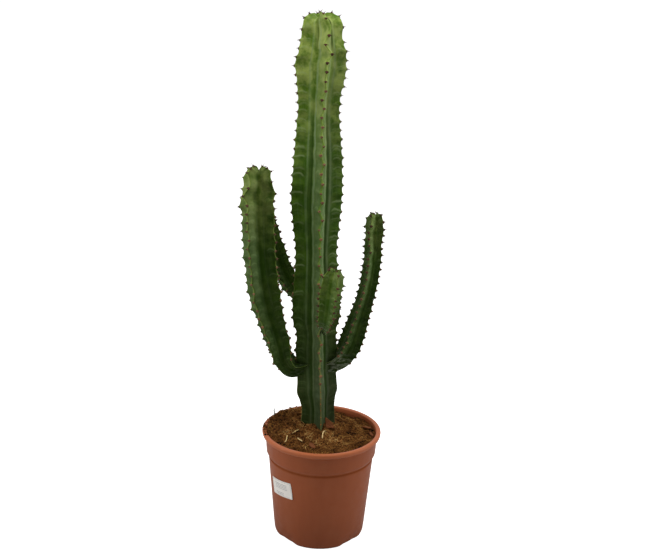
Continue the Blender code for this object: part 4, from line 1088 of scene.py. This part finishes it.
def make_skin(name, stem, finish):
    """The skin of one stem: a grid laid round it, with its seam and ends closed."""
    rib, side, (to_flank, to_valley, bulge) = section_columns()
    tooth = stem.rows()
    shape = (len(tooth), len(rib))
    wide = [np.broadcast_to(values, shape)
            for values in (tooth[:, None], rib, side, to_flank, to_valley, bulge)]
    points, _, _, _, distance, turn = stem.surface(wide[0], wide[1], wide[2], wide[3:])
    centre, radius, _, _, along = stem.at(np.array([stem.length]))
    apex = centre[0] + (stem.tip_rise - TIP_DIMPLE_SHARE) * radius[0] * along[0]
    crown = []
    for share in CROWN_STEPS:
        spoke = points[-1] - apex
        height = spoke @ along[0]
        level = spoke - height[:, None] * along[0]
        crown.append(apex + share * level + (share ** 0.6 * height)[:, None] * along[0])
    foot = np.broadcast_to(stem.at(distance[:1, 0])[0], points[:1].shape)
    points = np.concatenate((foot, points, np.array(crown)))
    distance = np.concatenate((distance[:1], distance, np.repeat(distance[-1:], len(CROWN_STEPS), axis=0)))
    count = np.concatenate((tooth[:1], tooth, tooth[-1] + 0.6 * (1.0 - np.array(CROWN_STEPS))))

    rows, columns = points.shape[:2]
    skin = new_grid(name, columns - 1, rows - 1, 2.0, "rib")
    mesh = skin.data
    flat = read_points(mesh)
    column = np.rint((flat[:, 0] + 1.0) / 2.0 * (columns - 1)).astype(int)
    row = np.rint((flat[:, 1] + 1.0) / 2.0 * (rows - 1)).astype(int)
    write_points(mesh, points[row, column])

    reach = to_flank * FLANK_AT + to_valley * (1.0 - FLANK_AT)
    corner = np.empty(len(mesh.loops), np.int32)
    mesh.loops.foreach_get("vertex_index", corner)
    corners = corner.reshape(-1, 4)
    half = len(MARGIN_STEPS) + len(VALLEY_STEPS) - 1
    turn_share = np.repeat(np.mean(column[corners], axis=1) / (2 * half), 4)
    loop_rib = np.rint(turn_share)
    shift = stem.stagger(loop_rib) + 37.0 * (loop_rib % RIBS) + 211.0 * (turn_share < loop_rib)
    uv = np.stack((reach[column[corner]], count[row[corner]] + shift), axis=1)
    mesh.uv_layers[0].data.foreach_set("uv", uv.astype(np.float32).ravel())

    here = distance[row, column]
    fresh, fresh_reach, dark_tone, bright_tone, low_tone, callus = LOOKS[name]
    trunk = name == "trunk_skin"
    from_tip = stem.length - here
    same = np.ones_like(here)
    write_values(mesh, "young", fresh * (1.0 - smoothstep(0.05 * fresh_reach, fresh_reach, from_tip)))
    old = 1.0 - smoothstep(*OLD_SKIN_HEIGHTS, points[row, column][:, 2]) if trunk else ARM_OLD * same
    write_values(mesh, "old", old)
    write_values(mesh, "root", callus * (1.0 - smoothstep(*CALLUS_REACH, here)))
    normal = np.empty(3 * len(mesh.vertices), np.float32)
    mesh.vertex_normals.foreach_get("vector", normal)
    upper = smoothstep(*LOW_TONE_TO, here)
    low = low_tone + (1.0 - low_tone) * upper
    # Painted sheen: faces that look sideways, and the margins, get the paler, greyer colours of the waxy skin
    # reflecting the bright sides
    painted_sheen = smoothstep(*(TRUNK_SHEEN_FACING if trunk else ARM_SHEEN_FACING), np.abs(normal[::3]))
    if not trunk:
        painted_sheen = painted_sheen * (LOW_SHEEN + (1.0 - LOW_SHEEN) * upper)
    painted_sheen = np.maximum(painted_sheen, 1.0 - smoothstep(0.0, 0.06, reach[column]))
    write_values(mesh, "painted_sheen", painted_sheen)
    # Painted light and shade: the tone is darker on faces that don't look sideways and lighter on those that
    # do, and on the trunk follows the ribs that catch more or less light
    tone = low * (dark_tone + (bright_tone - dark_tone) * painted_sheen)
    if trunk:
        tone = tone * trunk_tone(rib[column], side[column], reach[column], from_tip)
    write_values(mesh, "tone", tone)
    front = rib[column] == 0
    write_values(mesh, "banded", 1.0 - front if trunk else 0.35 * same)
    write_values(mesh, "lined", 0.6 + 0.4 * front if trunk else 0.15 * same)
    merge_and_face_out(skin)
    smooth(skin)
    return finish_piece(skin, finish, "euphorbia")


# Spines

def spine_master():
    """One spine along +Z from the origin, thin, curved and pointed."""
    deselect_all()
    bpy.ops.mesh.primitive_cone_add(vertices=6, radius1=1.0, radius2=0.06, depth=1.0, location=(0, 0, 0.5))
    spine = bpy.context.object
    freeze_place(spine)
    cut_along(spine, 3)
    points = read_points(spine.data)
    points[:, 0] += 0.9 * points[:, 2] ** 2
    width = 1.0 + 0.25 * np.sin(math.pi * np.clip(points[:, 2] * 1.6, 0.0, 1.0))
    points[:, 1] *= width
    write_points(spine.data, points)
    return spine


def pad_master():
    """One areole pad: a flattened cushion that runs down into a horny shield."""
    deselect_all()
    bpy.ops.mesh.primitive_uv_sphere_add(segments=10, ring_count=6, radius=1.0)
    pad = bpy.context.object
    points = read_points(pad.data)
    down = np.clip(-points[:, 1], 0.0, 1.0)
    points[:, 1] -= 0.9 * down ** 2
    points[:, 0] *= 1.0 - 0.5 * down ** 1.5
    write_points(pad.data, points)
    return pad


def copies(name, master, placements, values):
    """Copies of a master at (matrix) placements in one mesh, with named numbers for each copy."""
    points = read_points(master.data)
    faces = [tuple(face.vertices) for face in master.data.polygons]
    full = np.hstack((points, np.ones((len(points), 1))))
    moved = np.concatenate([full @ np.array(matrix).T for matrix in placements])[:, :3]
    all_faces = [tuple(corner + index * len(points) for corner in face)
                 for index in range(len(placements)) for face in faces]
    bpy.data.objects.remove(master)
    thing = object_from(name, moved.tolist(), all_faces)
    for label, numbers in values.items():
        write_values(thing.data, label, np.repeat(numbers, len(points)))
    return thing


def stand(place, x_axis, y_axis, z_axis, size):
    """A matrix that puts a master at a place along three directions."""
    turn = np.eye(4)
    for column, (axis, scale) in enumerate(zip((x_axis, y_axis, z_axis), size)):
        turn[:3, column] = np.asarray(axis) * scale
    turn[:3, 3] = place
    return turn


def make_spines(stems, finishes):
    """A pad at every tooth, with a pair of spines, shorter and paler on old growth."""
    rng = random.Random(3)
    pads, spines, pad_age, spine_age = [], [], [], []
    for name, stem in stems.items():
        last = len(stem.tooth_distance) - 1
        for rib in range(RIBS):
            for number in range(1, last + 1):
                tooth = number - stem.stagger(rib)
                mix = (np.zeros(1), np.zeros(1), np.zeros(1))
                found = stem.surface(np.array([tooth]), np.array([rib]), np.ones(1), mix)
                point, outward, sideways, along = (part[0] for part in found[:4])
                distance = found[4][0]
                dotted = distance < stem.bare - DOT_GAP
                if dotted and (name != "trunk" or point[2] < FOOT_DOTS_FROM):
                    continue
                up = np.cross(outward, sideways)
                up = up if up @ along > -0.2 else -up
                from_tip = stem.length - distance
                age = GROWN_AGE * float(smoothstep(*GROWN_REACH, from_tip))
                if distance < stem.old_growth:
                    age = OLD_AGES[0] if name == "trunk" else OLD_AGES[1]
                grown = (FOOT_DOT_SHARE if dotted else 1.0) * (1.0 + SIZE_SPREAD * rng.uniform(-1, 1))
                size = [side * grown for side in PAD_SIZE]
                pads.append(stand(point - PAD_SINK * outward, sideways, up, outward, size))
                pad_age.append(1.0 if dotted else age)
                if dotted:
                    continue
                length = float(np.interp(age, SPINE_AGES, SPINE_LENGTHS))
                for side in (-1, 1):
                    if age > LOST_FROM_AGE and rng.random() < LOST_SHARE:
                        continue
                    splay = math.radians(SPINE_SPLAY + SPLAY_SPREAD * rng.uniform(-1, 1))
                    droop = math.radians(SPINE_DROOP + DROOP_SPREAD * rng.uniform(-1, 1))
                    aim = math.cos(splay) * outward + side * math.sin(splay) * sideways - math.sin(droop) * up
                    aim = unit(aim)
                    cross = unit(np.cross(up, aim))
                    bend = np.cross(aim, cross)
                    reach = length * (1.0 + SIZE_SPREAD * rng.uniform(-1, 1))
                    width = SPINE_RADIUS * (1.0 + WIDTH_SPREAD * rng.uniform(-1, 1))
                    root = point + SPINE_ROOT[0] * outward + side * SPINE_ROOT[1] * sideways
                    spines.append(stand(root, -side * cross, bend, aim, (width, width, reach)))
                    spine_age.append(age)
    draw = np.random.default_rng(5)
    for name, kind, master, places, ages in (("spines", "spine", spine_master, spines, spine_age),
                                             ("areole_pads", "pad", pad_master, pads, pad_age)):
        thing = copies(name, master(), places, {"age": ages, "shade": draw.random(len(places))})
        merge_and_face_out(thing, 1e-7)
        smooth(thing)
        finish_piece(thing, finishes[kind], "euphorbia")


# Pot

def pot_outer_radius(height):
    """The outer radius of the pot's body under its collar."""
    share = height / (POT_HEIGHT - COLLAR_DEPTH)
    return BODY_RADIUS_LOW + (BODY_RADIUS_TOP - BODY_RADIUS_LOW) * share


def pot_inner_radius(height):
    """The inner radius of the pot at a height."""
    step_top = POT_HEIGHT - COLLAR_DEPTH
    step_low = step_top - STEP_HEIGHT
    if height <= step_low:
        return pot_outer_radius(height) - WALL
    if height >= step_top:
        share = (height - step_top) / COLLAR_DEPTH
        return COLLAR_RADIUS_LOW + (COLLAR_RADIUS_TOP - COLLAR_RADIUS_LOW) * share - WALL
    share = (height - step_low) / STEP_HEIGHT
    low = pot_outer_radius(step_low) - WALL
    return low + (COLLAR_RADIUS_LOW - WALL - low) * share


def arc(centre, radius, start, end, steps):
    """Points of a profile on an arc, angles in degrees."""
    angles = np.radians(np.linspace(start, end, steps + 1))
    return [(centre[0] + radius * math.cos(angle), centre[1] + radius * math.sin(angle)) for angle in angles]


def run_between(start, end, steps):
    """Evenly spaced points after start up to end."""
    start, end = np.array(start), np.array(end)
    return [tuple(start + (end - start) * step / steps) for step in range(1, steps + 1)]


def pot_profile():
    """The pot's section as (radius, height), up the inside from the floor and down the outside."""
    step_top = POT_HEIGHT - COLLAR_DEPTH
    step_low = step_top - STEP_HEIGHT
    inner_round = BASE_ROUND - WALL
    lip_foot = POT_HEIGHT - LIP_HEIGHT
    rim_inner = pot_inner_radius(POT_HEIGHT)
    profile = arc((pot_inner_radius(FLOOR) - inner_round, FLOOR + inner_round), inner_round, -90, 0, 6)
    profile += run_between(profile[-1], (pot_inner_radius(step_low), step_low), 8)
    profile += run_between(profile[-1], (pot_inner_radius(step_top), step_top), 3)
    profile += run_between(profile[-1], (rim_inner, POT_HEIGHT - 0.003), 5)
    profile += arc((rim_inner + LIP_INNER_ROUND, POT_HEIGHT - 0.0026), LIP_INNER_ROUND, 160, 100, 4)
    profile += arc((RIM_RADIUS - LIP_ROUND, POT_HEIGHT - LIP_ROUND), LIP_ROUND, 90, -12, 9)
    profile += [(RIM_RADIUS - inward, lip_foot + up) for inward, up in LIP_UNDERSIDE]
    profile += [(COLLAR_RADIUS_TOP + 0.0004, lip_foot - 0.0042), (COLLAR_RADIUS_TOP, lip_foot - 0.007)]
    profile += run_between(profile[-1], (COLLAR_RADIUS_LOW, step_top + 0.0012), 5)
    profile += [(COLLAR_RADIUS_LOW - 0.0003, step_top + 0.0004),
                (COLLAR_RADIUS_LOW - 0.0009, step_top - 0.0006)]
    profile += run_between(profile[-1], (pot_outer_radius(step_low) + 0.0006, step_low + 0.0008), 3)
    profile += [(pot_outer_radius(step_low) + 0.0001, step_low - 0.0002)]
    profile += [(pot_outer_radius(step_low - 0.002), step_low - 0.002)]
    profile += run_between(profile[-1], (pot_outer_radius(DENT_HEIGHT), DENT_HEIGHT + 0.002), 12)
    profile += arc((pot_outer_radius(0.0) - BASE_ROUND, BASE_ROUND), BASE_ROUND, 0, -90, 9)
    return profile


def turned_by_extrusion(name, profile, segments):
    """Turn a profile into a closed round body: a disc grown outwards ring by ring."""
    deselect_all()
    radius, height = profile[0]
    bpy.ops.mesh.primitive_circle_add(vertices=segments, radius=radius, fill_type="TRIFAN",
                                      location=(0, 0, height))
    thing = bpy.context.object
    thing.name = name
    freeze_place(thing)
    with editing(thing):
        bpy.ops.mesh.region_to_loop()
        for place in profile[1:]:
            size = place[0] / radius
            bpy.ops.mesh.extrude_edges_move(TRANSFORM_OT_translate={"value": (0, 0, place[1] - height)})
            bpy.ops.transform.resize(value=(size, size, 1.0), center_override=(0, 0, place[1]))
            radius, height = place
        bpy.ops.mesh.extrude_edges_move()
        bpy.ops.mesh.merge(type="CENTER")
        bpy.ops.mesh.select_all(action="SELECT")
        bpy.ops.mesh.normals_make_consistent(inside=False)
    return thing


def make_pot(finishes):
    """The nursery pot: rolled lip, collar, tapered body, recesses in the base edge and drain holes."""
    pot = turned_by_extrusion("nursery_pot", pot_profile(), POT_SEGMENTS)
    points = read_points(pot.data)
    radius = np.hypot(points[:, 0], points[:, 1])
    angle = np.degrees(np.arctan2(points[:, 1], points[:, 0])) % 360
    away = np.min([np.abs(angle - middle) for middle in DENT_ANGLES], axis=0)
    depth = DENT_DEPTH * (1.0 - smoothstep(0.3, 1.0, away / DENT_HALF_ANGLE))
    depth = depth * (1.0 - smoothstep(0.6, 1.0, points[:, 2] / (DENT_HEIGHT + 0.002)))
    depth = np.where(radius > BODY_RADIUS_LOW * 0.8, depth, 0.0)
    waver = WALL_WAVER * np.sin(np.radians(3 * angle + 40)) * smoothstep(0.02, 0.17, points[:, 2])
    waver = np.where(radius > BODY_RADIUS_LOW * 0.8, waver, 0.0)
    points[:, :2] *= (1.0 + (waver - depth) / np.maximum(radius, 1e-6))[:, None]
    write_points(pot.data, points)
    for index in range(DRAIN_COUNT):
        turn = math.tau * (index + 0.5) / DRAIN_COUNT
        place = (DRAIN_CIRCLE / 2 * math.cos(turn), DRAIN_CIRCLE / 2 * math.sin(turn), 0.0)
        bpy.ops.mesh.primitive_cylinder_add(vertices=DRAIN_SEGMENTS, radius=DRAIN_DIAMETER / 2,
                                            depth=4 * FLOOR, location=place)
        drill = bpy.context.object
        hole = pot.modifiers.new("Drain", "BOOLEAN")
        hole.operation = "DIFFERENCE"
        hole.object = drill
        apply_modifiers(pot)
        bpy.data.objects.remove(drill)
    smooth(pot, 38)
    return finish_piece(pot, finishes["pot"], "pot")


def make_label(finishes):
    """The paper label, bent round the pot's side, one corner lifting a little."""
    label = new_grid("paper_label", 44, 26, 1.0, "sheet")
    flat = read_points(label.data)
    along, up = LABEL_WIDTH * flat[:, 0], LABEL_HEIGHT * flat[:, 1]
    over_x = np.maximum(np.abs(along) - (LABEL_WIDTH / 2 - LABEL_ROUND), 0.0)
    over_y = np.maximum(np.abs(up) - (LABEL_HEIGHT / 2 - LABEL_ROUND), 0.0)
    reach = np.hypot(over_x, over_y)
    outside = (over_x > 0) & (over_y > 0) & (reach > LABEL_ROUND)
    trim = np.where(outside, LABEL_ROUND / np.maximum(reach, 1e-9), 1.0)
    along = np.sign(along) * (np.abs(along) - over_x * (1.0 - trim))
    up = np.sign(up) * (np.abs(up) - over_y * (1.0 - trim))
    tilt = math.radians(LABEL_TILT)
    turned = along * math.cos(tilt) - up * math.sin(tilt)
    height = LABEL_MIDDLE_HEIGHT + along * math.sin(tilt) + up * math.cos(tilt)
    corner = np.hypot(LABEL_WIDTH / 2 - along, LABEL_HEIGHT / 2 + up)
    lift = LABEL_CORNER_LIFT * (1.0 - smoothstep(0.0, 0.012, corner))
    radius = np.array([pot_outer_radius(z) for z in height]) + WALL_WAVER + LABEL_GAP + lift
    angle = math.radians(LABEL_ANGLE) + turned / radius
    write_points(label.data, np.stack((radius * np.cos(angle), radius * np.sin(angle), height), axis=1))
    paper = label.modifiers.new("Paper", "SOLIDIFY")
    paper.thickness = LABEL_THICKNESS
    paper.offset = 1.0
    apply_modifiers(label)
    smooth(label, 40)
    return finish_piece(label, finishes["label"], "label")


# Soil

def soil_height(x, y):
    """The height of the packed soil's surface, without its fine roughness."""
    foot = TRUNK[0]
    away = math.hypot(x - foot[0], y - foot[1])
    mound = SOIL_MOUND_HEIGHT * math.exp(-(away / SOIL_MOUND_SPREAD) ** 2)
    reach = math.hypot(x, y) / COLLAR_RADIUS_TOP
    turned = math.cos(math.atan2(y, x) - math.radians(SOIL_RISE_ANGLE)) if reach > 0 else 0.0
    rise = SOIL_BACK_LEFT_RISE * reach * reach * max(0.0, turned) ** 1.2
    lumps = sum(math.sin(a * x + b * y + start) for a, b, start in SOIL_WAVES)
    return SOIL_EDGE_HEIGHT + mound + rise + SOIL_LUMP * lumps


def rough_height(x, y):
    """The soil's surface with crumbs, pits and hollows."""
    spot = Vector((x, y, 0.0))
    coarse = noise.fractal(spot * LUMPS_PER_METRE, 0.8, 2.0, 4)
    cell = noise.voronoi(spot * CELLS_PER_METRE)[0][0]
    hollow = sum(depth * math.exp(-((x - u) ** 2 + (y - v) ** 2) / size ** 2)
                 for u, v, size, depth in HOLLOWS)
    return soil_height(x, y) + SOIL_ROUGHNESS * (0.75 * coarse + 0.8 * (0.35 - cell)) - hollow


def make_soil(finishes):
    """The root ball: a rough surface, and plain sides and foot inside the pot."""
    deselect_all()
    bpy.ops.mesh.primitive_grid_add(x_subdivisions=SOIL_CELLS, y_subdivisions=SOIL_CELLS, size=2.0)
    soil = bpy.context.object
    soil.name = "peat_ball"
    flat = read_points(soil.data)[:, :2]
    edge = pot_inner_radius(SOIL_EDGE_HEIGHT) - SOIL_EDGE_GAP
    largest = np.max(np.abs(flat), axis=1)
    length = np.maximum(np.hypot(flat[:, 0], flat[:, 1]), 1e-9)
    disc = edge * flat * (largest / length)[:, None]
    heights = [rough_height(x, y) for x, y in disc]
    write_points(soil.data, np.column_stack((disc, heights)))
    step_top = POT_HEIGHT - COLLAR_DEPTH
    step_low = step_top - STEP_HEIGHT
    low_radius = pot_inner_radius(0.0) - DENT_DEPTH - SOIL_EDGE_GAP
    corner = BASE_ROUND - WALL + 0.001
    rings = [(edge, SOIL_EDGE_HEIGHT - 0.01), (pot_inner_radius(step_top) - SOIL_EDGE_GAP, step_top),
             (pot_inner_radius(step_low) - SOIL_EDGE_GAP, step_low), (low_radius, FLOOR + corner),
             (low_radius - corner, FLOOR + SOIL_EDGE_GAP)]
    radius = edge
    with editing(soil):
        bpy.ops.mesh.region_to_loop()
        for wide, height in rings:
            bpy.ops.mesh.extrude_edges_move()
            size = wide / radius
            bpy.ops.transform.resize(value=(size, size, 0.0), center_override=(0, 0, height))
            radius = wide
        bpy.ops.mesh.edge_face_add()
        bpy.ops.mesh.select_all(action="SELECT")
        bpy.ops.mesh.normals_make_consistent(inside=False)
    smooth(soil, 60)
    return finish_piece(soil, finishes["peat"], "soil")


def free_spot(rng, edge):
    """A random place on the soil that isn't inside the stem."""
    foot = TRUNK[0]
    while True:
        x, y = rng.uniform(-edge, edge), rng.uniform(-edge, edge)
        if math.hypot(x, y) < edge and math.hypot(x - foot[0], y - foot[1]) > STEM_CLEARANCE:
            return x, y


def clump_shade(rng, x, y):
    """A shade from 0 to 1 that is partly shared by the bits of one clump, and darker near the pot wall as
    painted shade.
    """
    clump = 0.5 + 1.3 * noise.noise(Vector((x, y, 0.7)) * 62.0)
    wall_shade = 0.22 * float(smoothstep(0.055, 0.095, math.hypot(x, y)))
    return min(1.0, max(0.0, 0.5 * rng.random() + 0.5 * clump - wall_shade))


def crumb_master():
    """One crumb of peat."""
    deselect_all()
    bpy.ops.mesh.primitive_ico_sphere_add(subdivisions=1, radius=1.0)
    crumb = bpy.context.object
    points = read_points(crumb.data)
    draw = np.random.default_rng(11)
    write_points(crumb.data, points * (1.0 + 0.3 * draw.uniform(-1, 1, (len(points), 1))))
    return crumb


def make_crumbs(finishes):
    """Crumbs of peat and bark fines over the soil."""
    rng = random.Random(21)
    edge = pot_inner_radius(SOIL_EDGE_HEIGHT) - CRUMB_EDGE_GAP
    placements = []
    shades = []
    for index in range(CRUMB_COUNT):
        x, y = free_spot(rng, edge)
        size = CRUMB_SIZE[0] + CRUMB_SIZE[1] * rng.random() ** 3
        height = rough_height(x, y)
        if index % LIP_CRUMB_EVERY == 0:
            angle = math.radians(rng.uniform(*LIP_CRUMBS))
            away = rng.uniform(*LIP_CRUMB_PLACE)
            x, y = away * math.cos(angle), away * math.sin(angle)
            height = POT_HEIGHT + LIP_CRUMB_LIFT
        turn = Matrix.Rotation(rng.uniform(0, math.tau), 4, "Z")
        turn = turn @ Matrix.Rotation(rng.uniform(0, math.tau), 4, "X")
        scale = Matrix.Diagonal((size * rng.uniform(0.7, 1.6), size * rng.uniform(0.6, 1.1), size * 0.7, 1.0))
        place = Matrix.Translation((x, y, height + CRUMB_LIFT * size))
        placements.append(place @ turn @ scale)
        shades.append(clump_shade(rng, x, y))
    crumbs = copies("peat_crumbs", crumb_master(), placements, {"shade": shades})
    smooth(crumbs, 50)
    return finish_piece(crumbs, finishes["crumb"], "soil")


def fibre_master():
    """One straight fibre of unit length along +X, three-sided, in six steps."""
    deselect_all()
    bpy.ops.mesh.primitive_cone_add(vertices=3, radius1=1.0, radius2=0.35, depth=1.0)
    fibre = bpy.context.object
    freeze_place(fibre)
    cut_along(fibre, 5)
    points = read_points(fibre.data)
    write_points(fibre.data, np.stack((points[:, 2], points[:, 0], points[:, 1]), axis=1))
    return fibre


def make_fibres(finishes):
    """Coir fibres that lie over the soil, each with its own bend."""
    rng = random.Random(33)
    edge = pot_inner_radius(SOIL_EDGE_HEIGHT) - FIBRE_EDGE_GAP
    master = fibre_master()
    base = read_points(master.data)
    faces = [tuple(face.vertices) for face in master.data.polygons]
    bpy.data.objects.remove(master)
    points, all_faces, shades = [], [], []
    for index in range(FIBRE_COUNT):
        x, y = free_spot(rng, edge)
        spare = FIBRE_SPARE_RIGHT if x > 0.0 else FIBRE_SPARE_LEFT
        length = FIBRE_SHORTEST + spare * rng.random() ** 2
        width = FIBRE_WIDTH[0] + FIBRE_WIDTH[1] * rng.random() ** 2
        aim, bend = rng.uniform(0, math.tau), rng.uniform(-FIBRE_BEND, FIBRE_BEND)
        tilt, wave = rng.gauss(0.0, FIBRE_TILT), rng.uniform(0, math.tau)
        start = len(points)
        for along, side, up in base:
            angle = aim + bend * along
            cx, cy = x + along * length * math.cos(angle), y + along * length * math.sin(angle)
            out = math.hypot(cx, cy)
            if out > edge:
                cx, cy = cx * edge / out, cy * edge / out
            px = cx - side * width * math.sin(angle)
            py = cy + side * width * math.cos(angle)
            lift = FIBRE_LIFT + FIBRE_WAVE * math.sin(5.0 * along + wave) + tilt * along * length
            points.append((px, py, rough_height(cx, cy) + max(lift, FIBRE_SUNK) + up * width))
        all_faces += [tuple(corner + start for corner in face) for face in faces]
        shades += [clump_shade(rng, x, y)] * len(base)
    fibres = object_from("coir_fibres", points, all_faces)
    write_values(fibres.data, "shade", shades)
    smooth(fibres, 80)
    return finish_piece(fibres, finishes["fibre"], "soil")


# Litter

def copy_of_node(name, node):
    """A merged copy of a node of the frame, to be worked on."""
    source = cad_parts[node]
    thing = bpy.data.objects.new(name, source.data.copy())
    bpy.context.scene.collection.objects.link(thing)
    with editing(thing):
        bpy.ops.mesh.remove_doubles(threshold=1e-6)
    return thing


def main_axes(points):
    """A body's middle and its long, wide and thin directions."""
    middle = points.mean(axis=0)
    directions = np.linalg.svd(points - middle, full_matrices=False)[2]
    return middle, directions


def make_chip(index, finishes):
    """A torn piece of bark in the place of a chip of the frame."""
    node = f"bark_chip_{index}"
    chip = copy_of_node(f"torn_bark_{index}", node)
    axes = main_axes(read_points(chip.data))
    cells = chip.modifiers.new("Cells", "REMESH")
    cells.mode = "VOXEL"
    cells.voxel_size = CHIP_CELL
    apply_modifiers(chip)
    points = read_points(chip.data)
    middle, (long, wide, thin) = axes
    local = (points - middle) @ np.array((long, wide, thin)).T
    half = np.abs(local).max(axis=0)
    moved = []
    for (along, over, up), point in zip(local, points):
        layer = noise.noise(Vector((along * 110, over * 620, index * 3.1)))
        tear = noise.noise(Vector((along * 60, over * 1500, index * 7.7 + 2)))
        edge = min(1.0, max(0.0, (abs(along) / half[0] - TORN_FROM) / TORN_LENGTH))
        shift = thin * (BARK_LAYER * layer * (1.0 if up > 0 else -0.3))
        shift = shift + long * np.sign(along) * BARK_TEAR * tear * edge
        pinch = 1.0 - BARK_THIN_END * edge - BARK_THIN_SIDE * (abs(over) / half[1]) ** 2
        moved.append(point + shift - thin * up * (1.0 - pinch))
    write_points(chip.data, moved)
    smooth(chip, 55)
    layer = chip.data.uv_layers.new(name="grain") if not chip.data.uv_layers else chip.data.uv_layers[0]
    layer.name = "grain"
    corner = np.empty(len(chip.data.loops), np.int32)
    chip.data.loops.foreach_get("vertex_index", corner)
    flat = ((np.array(moved) - middle) @ np.array((long, wide, thin)).T)[corner][:, :2]
    layer.data.foreach_set("uv", flat.astype(np.float32).ravel())
    return finish_piece(chip, finishes["bark"], node)


def make_straw(index, finishes):
    """A dry split straw in the place of a straw of the frame."""
    node = f"straw_{index}"
    straw = copy_of_node(f"dry_straw_{index}", node)
    fine = straw.modifiers.new("Fine", "SUBSURF")
    fine.subdivision_type = "SIMPLE"
    fine.levels = 2
    fine.render_levels = 2
    apply_modifiers(straw)
    points = read_points(straw.data)
    noise.seed_set(STRAW_SEED)
    moved = []
    for point in points:
        spot = Vector(point)
        swell = sum(noise.noise(spot * scale) * height for scale, height in STRAW_FIBRES)
        away = noise.noise_vector(spot * STRAW_WANDER[0])
        moved.append(point + np.array(away) * STRAW_WANDER[1] + np.array((0.0, 0.0, swell)))
    normal = np.empty(3 * len(points), np.float32)
    straw.data.vertex_normals.foreach_get("vector", normal)
    write_points(straw.data, np.array(moved) + STRAW_SWELL * normal.reshape(-1, 3))
    smooth(straw, 60)
    write_values(straw.data, "shade", np.full(len(points), 0.2 + 0.2 * index))
    return finish_piece(straw, finishes["straw"], node)


def make_wisp(finishes):
    """A few dead hairs that stand up at the back left of the soil."""
    hairs = []
    for index, (dx, dy, height) in enumerate(WISP_HAIRS):
        deselect_all()
        bpy.ops.mesh.primitive_cylinder_add(vertices=5, radius=WISP_RADIUS, depth=height,
                                            location=(0, 0, height / 2))
        hair = bpy.context.object
        freeze_place(hair)
        cut_along(hair, 8)
        points = read_points(hair.data)
        share = points[:, 2] / height
        points[:, :2] *= (1.0 - 0.6 * share)[:, None]
        points[:, 0] += WISP_FOOT[0] + dx * share ** 1.6 + 0.001 * np.sin(7 * share + index)
        points[:, 1] += WISP_FOOT[1] + dy * share ** 1.4
        points[:, 2] += rough_height(*WISP_FOOT) - 0.002
        write_points(hair.data, points)
        hairs.append(hair)
    deselect_all()
    for hair in hairs:
        hair.select_set(True)
    bpy.context.view_layer.objects.active = hairs[0]
    bpy.ops.object.join()
    wisp = bpy.context.object
    wisp.name = "dead_wisp"
    smooth(wisp, 60)
    write_values(wisp.data, "shade", np.full(len(wisp.data.vertices), 0.5))
    return finish_piece(wisp, finishes["wisp"], "straw_1")


# Studio

def make_floor():
    """A plain pale floor."""
    deselect_all()
    bpy.ops.mesh.primitive_plane_add(size=12.0, location=(0, 0, -0.0004))
    floor = bpy.context.object
    floor.name = "studio_floor"
    finish, nodes, shader = new_finish("pale_floor", 0.9, 0.0)
    shader["Base Color"].default_value = (0.55, 0.55, 0.55, 1.0)
    shader["Emission Color"].default_value = (1.0, 1.0, 1.0, 1.0)
    seen = nodes.add("ShaderNodeLightPath").outputs["Is Camera Ray"]
    nodes.feed(shader["Emission Strength"], nodes.times(seen, FLOOR_GLOW))
    floor.data.materials.append(finish)


def make_world():
    """White surroundings, dimmer towards the camera, and pure white behind the object."""
    world = bpy.data.worlds.new("white_room")
    bpy.context.scene.world = world
    world.use_nodes = True
    nodes = Nodes(world.node_tree)
    shade = world.node_tree.nodes["Background"]
    way = nodes.add("ShaderNodeTexCoord").outputs["Generated"]
    parts = nodes.add("ShaderNodeSeparateXYZ", {"Vector": way})
    front = nodes.rise(parts.outputs["Y"], -0.55, 0.0, FRONT_WALL, SIDE_WALL)
    seen = nodes.add("ShaderNodeLightPath").outputs["Is Camera Ray"]
    nodes.feed(shade.inputs["Strength"], nodes.math("MAXIMUM", front, nodes.times(seen, 1.05)))
    shade.inputs["Color"].default_value = (1.0, 1.0, 1.0, 1.0)


def add_light(name, place, target, size, power):
    """A soft rectangular lamp that faces a target."""
    lamp = bpy.data.lights.new(name, "AREA")
    lamp.shape = "RECTANGLE"
    lamp.size, lamp.size_y = size
    lamp.energy = power
    thing = bpy.data.objects.new(name, lamp)
    bpy.context.scene.collection.objects.link(thing)
    thing.location = place
    thing.rotation_euler = (Vector(target) - Vector(place)).to_track_quat("-Z", "Y").to_euler()


def make_studio():
    """Floor, soft light from both sides and above, and the photograph's camera."""
    make_floor()
    make_world()
    for name, place, target, size, power in LAMPS:
        add_light(name, place, target, size, power)
    camera = bpy.data.cameras.new("photo_camera")
    camera.sensor_width = CAMERA_SENSOR
    camera.lens = CAMERA_LENS
    camera.clip_start = 0.01
    view = bpy.data.objects.new("photo_camera", camera)
    bpy.context.scene.collection.objects.link(view)
    tilt = Matrix.Rotation(math.radians(CAMERA_TILT), 4, "X")
    roll = Matrix.Rotation(math.radians(CAMERA_ROLL), 4, "Z")
    view.matrix_world = Matrix.Translation(CAMERA_PLACE) @ tilt @ roll
    bpy.context.scene.camera = view
    bpy.context.scene.view_settings.view_transform = "Standard"


def make_object():
    """Every visible piece of the plant and its pot."""
    finishes = make_finishes()
    stems = {}
    for name, growth in GROWTH.items():
        stems[name] = Stem(*growth)
        make_skin(f"{name}_skin", stems[name], finishes["skin"])
    make_spines(stems, finishes)
    make_pot(finishes)
    make_label(finishes)
    make_soil(finishes)
    make_crumbs(finishes)
    make_fibres(finishes)
    for index in range(1, 5):
        make_chip(index, finishes)
        make_straw(index, finishes)
    make_wisp(finishes)


make_studio()
make_object()
deselect_all()
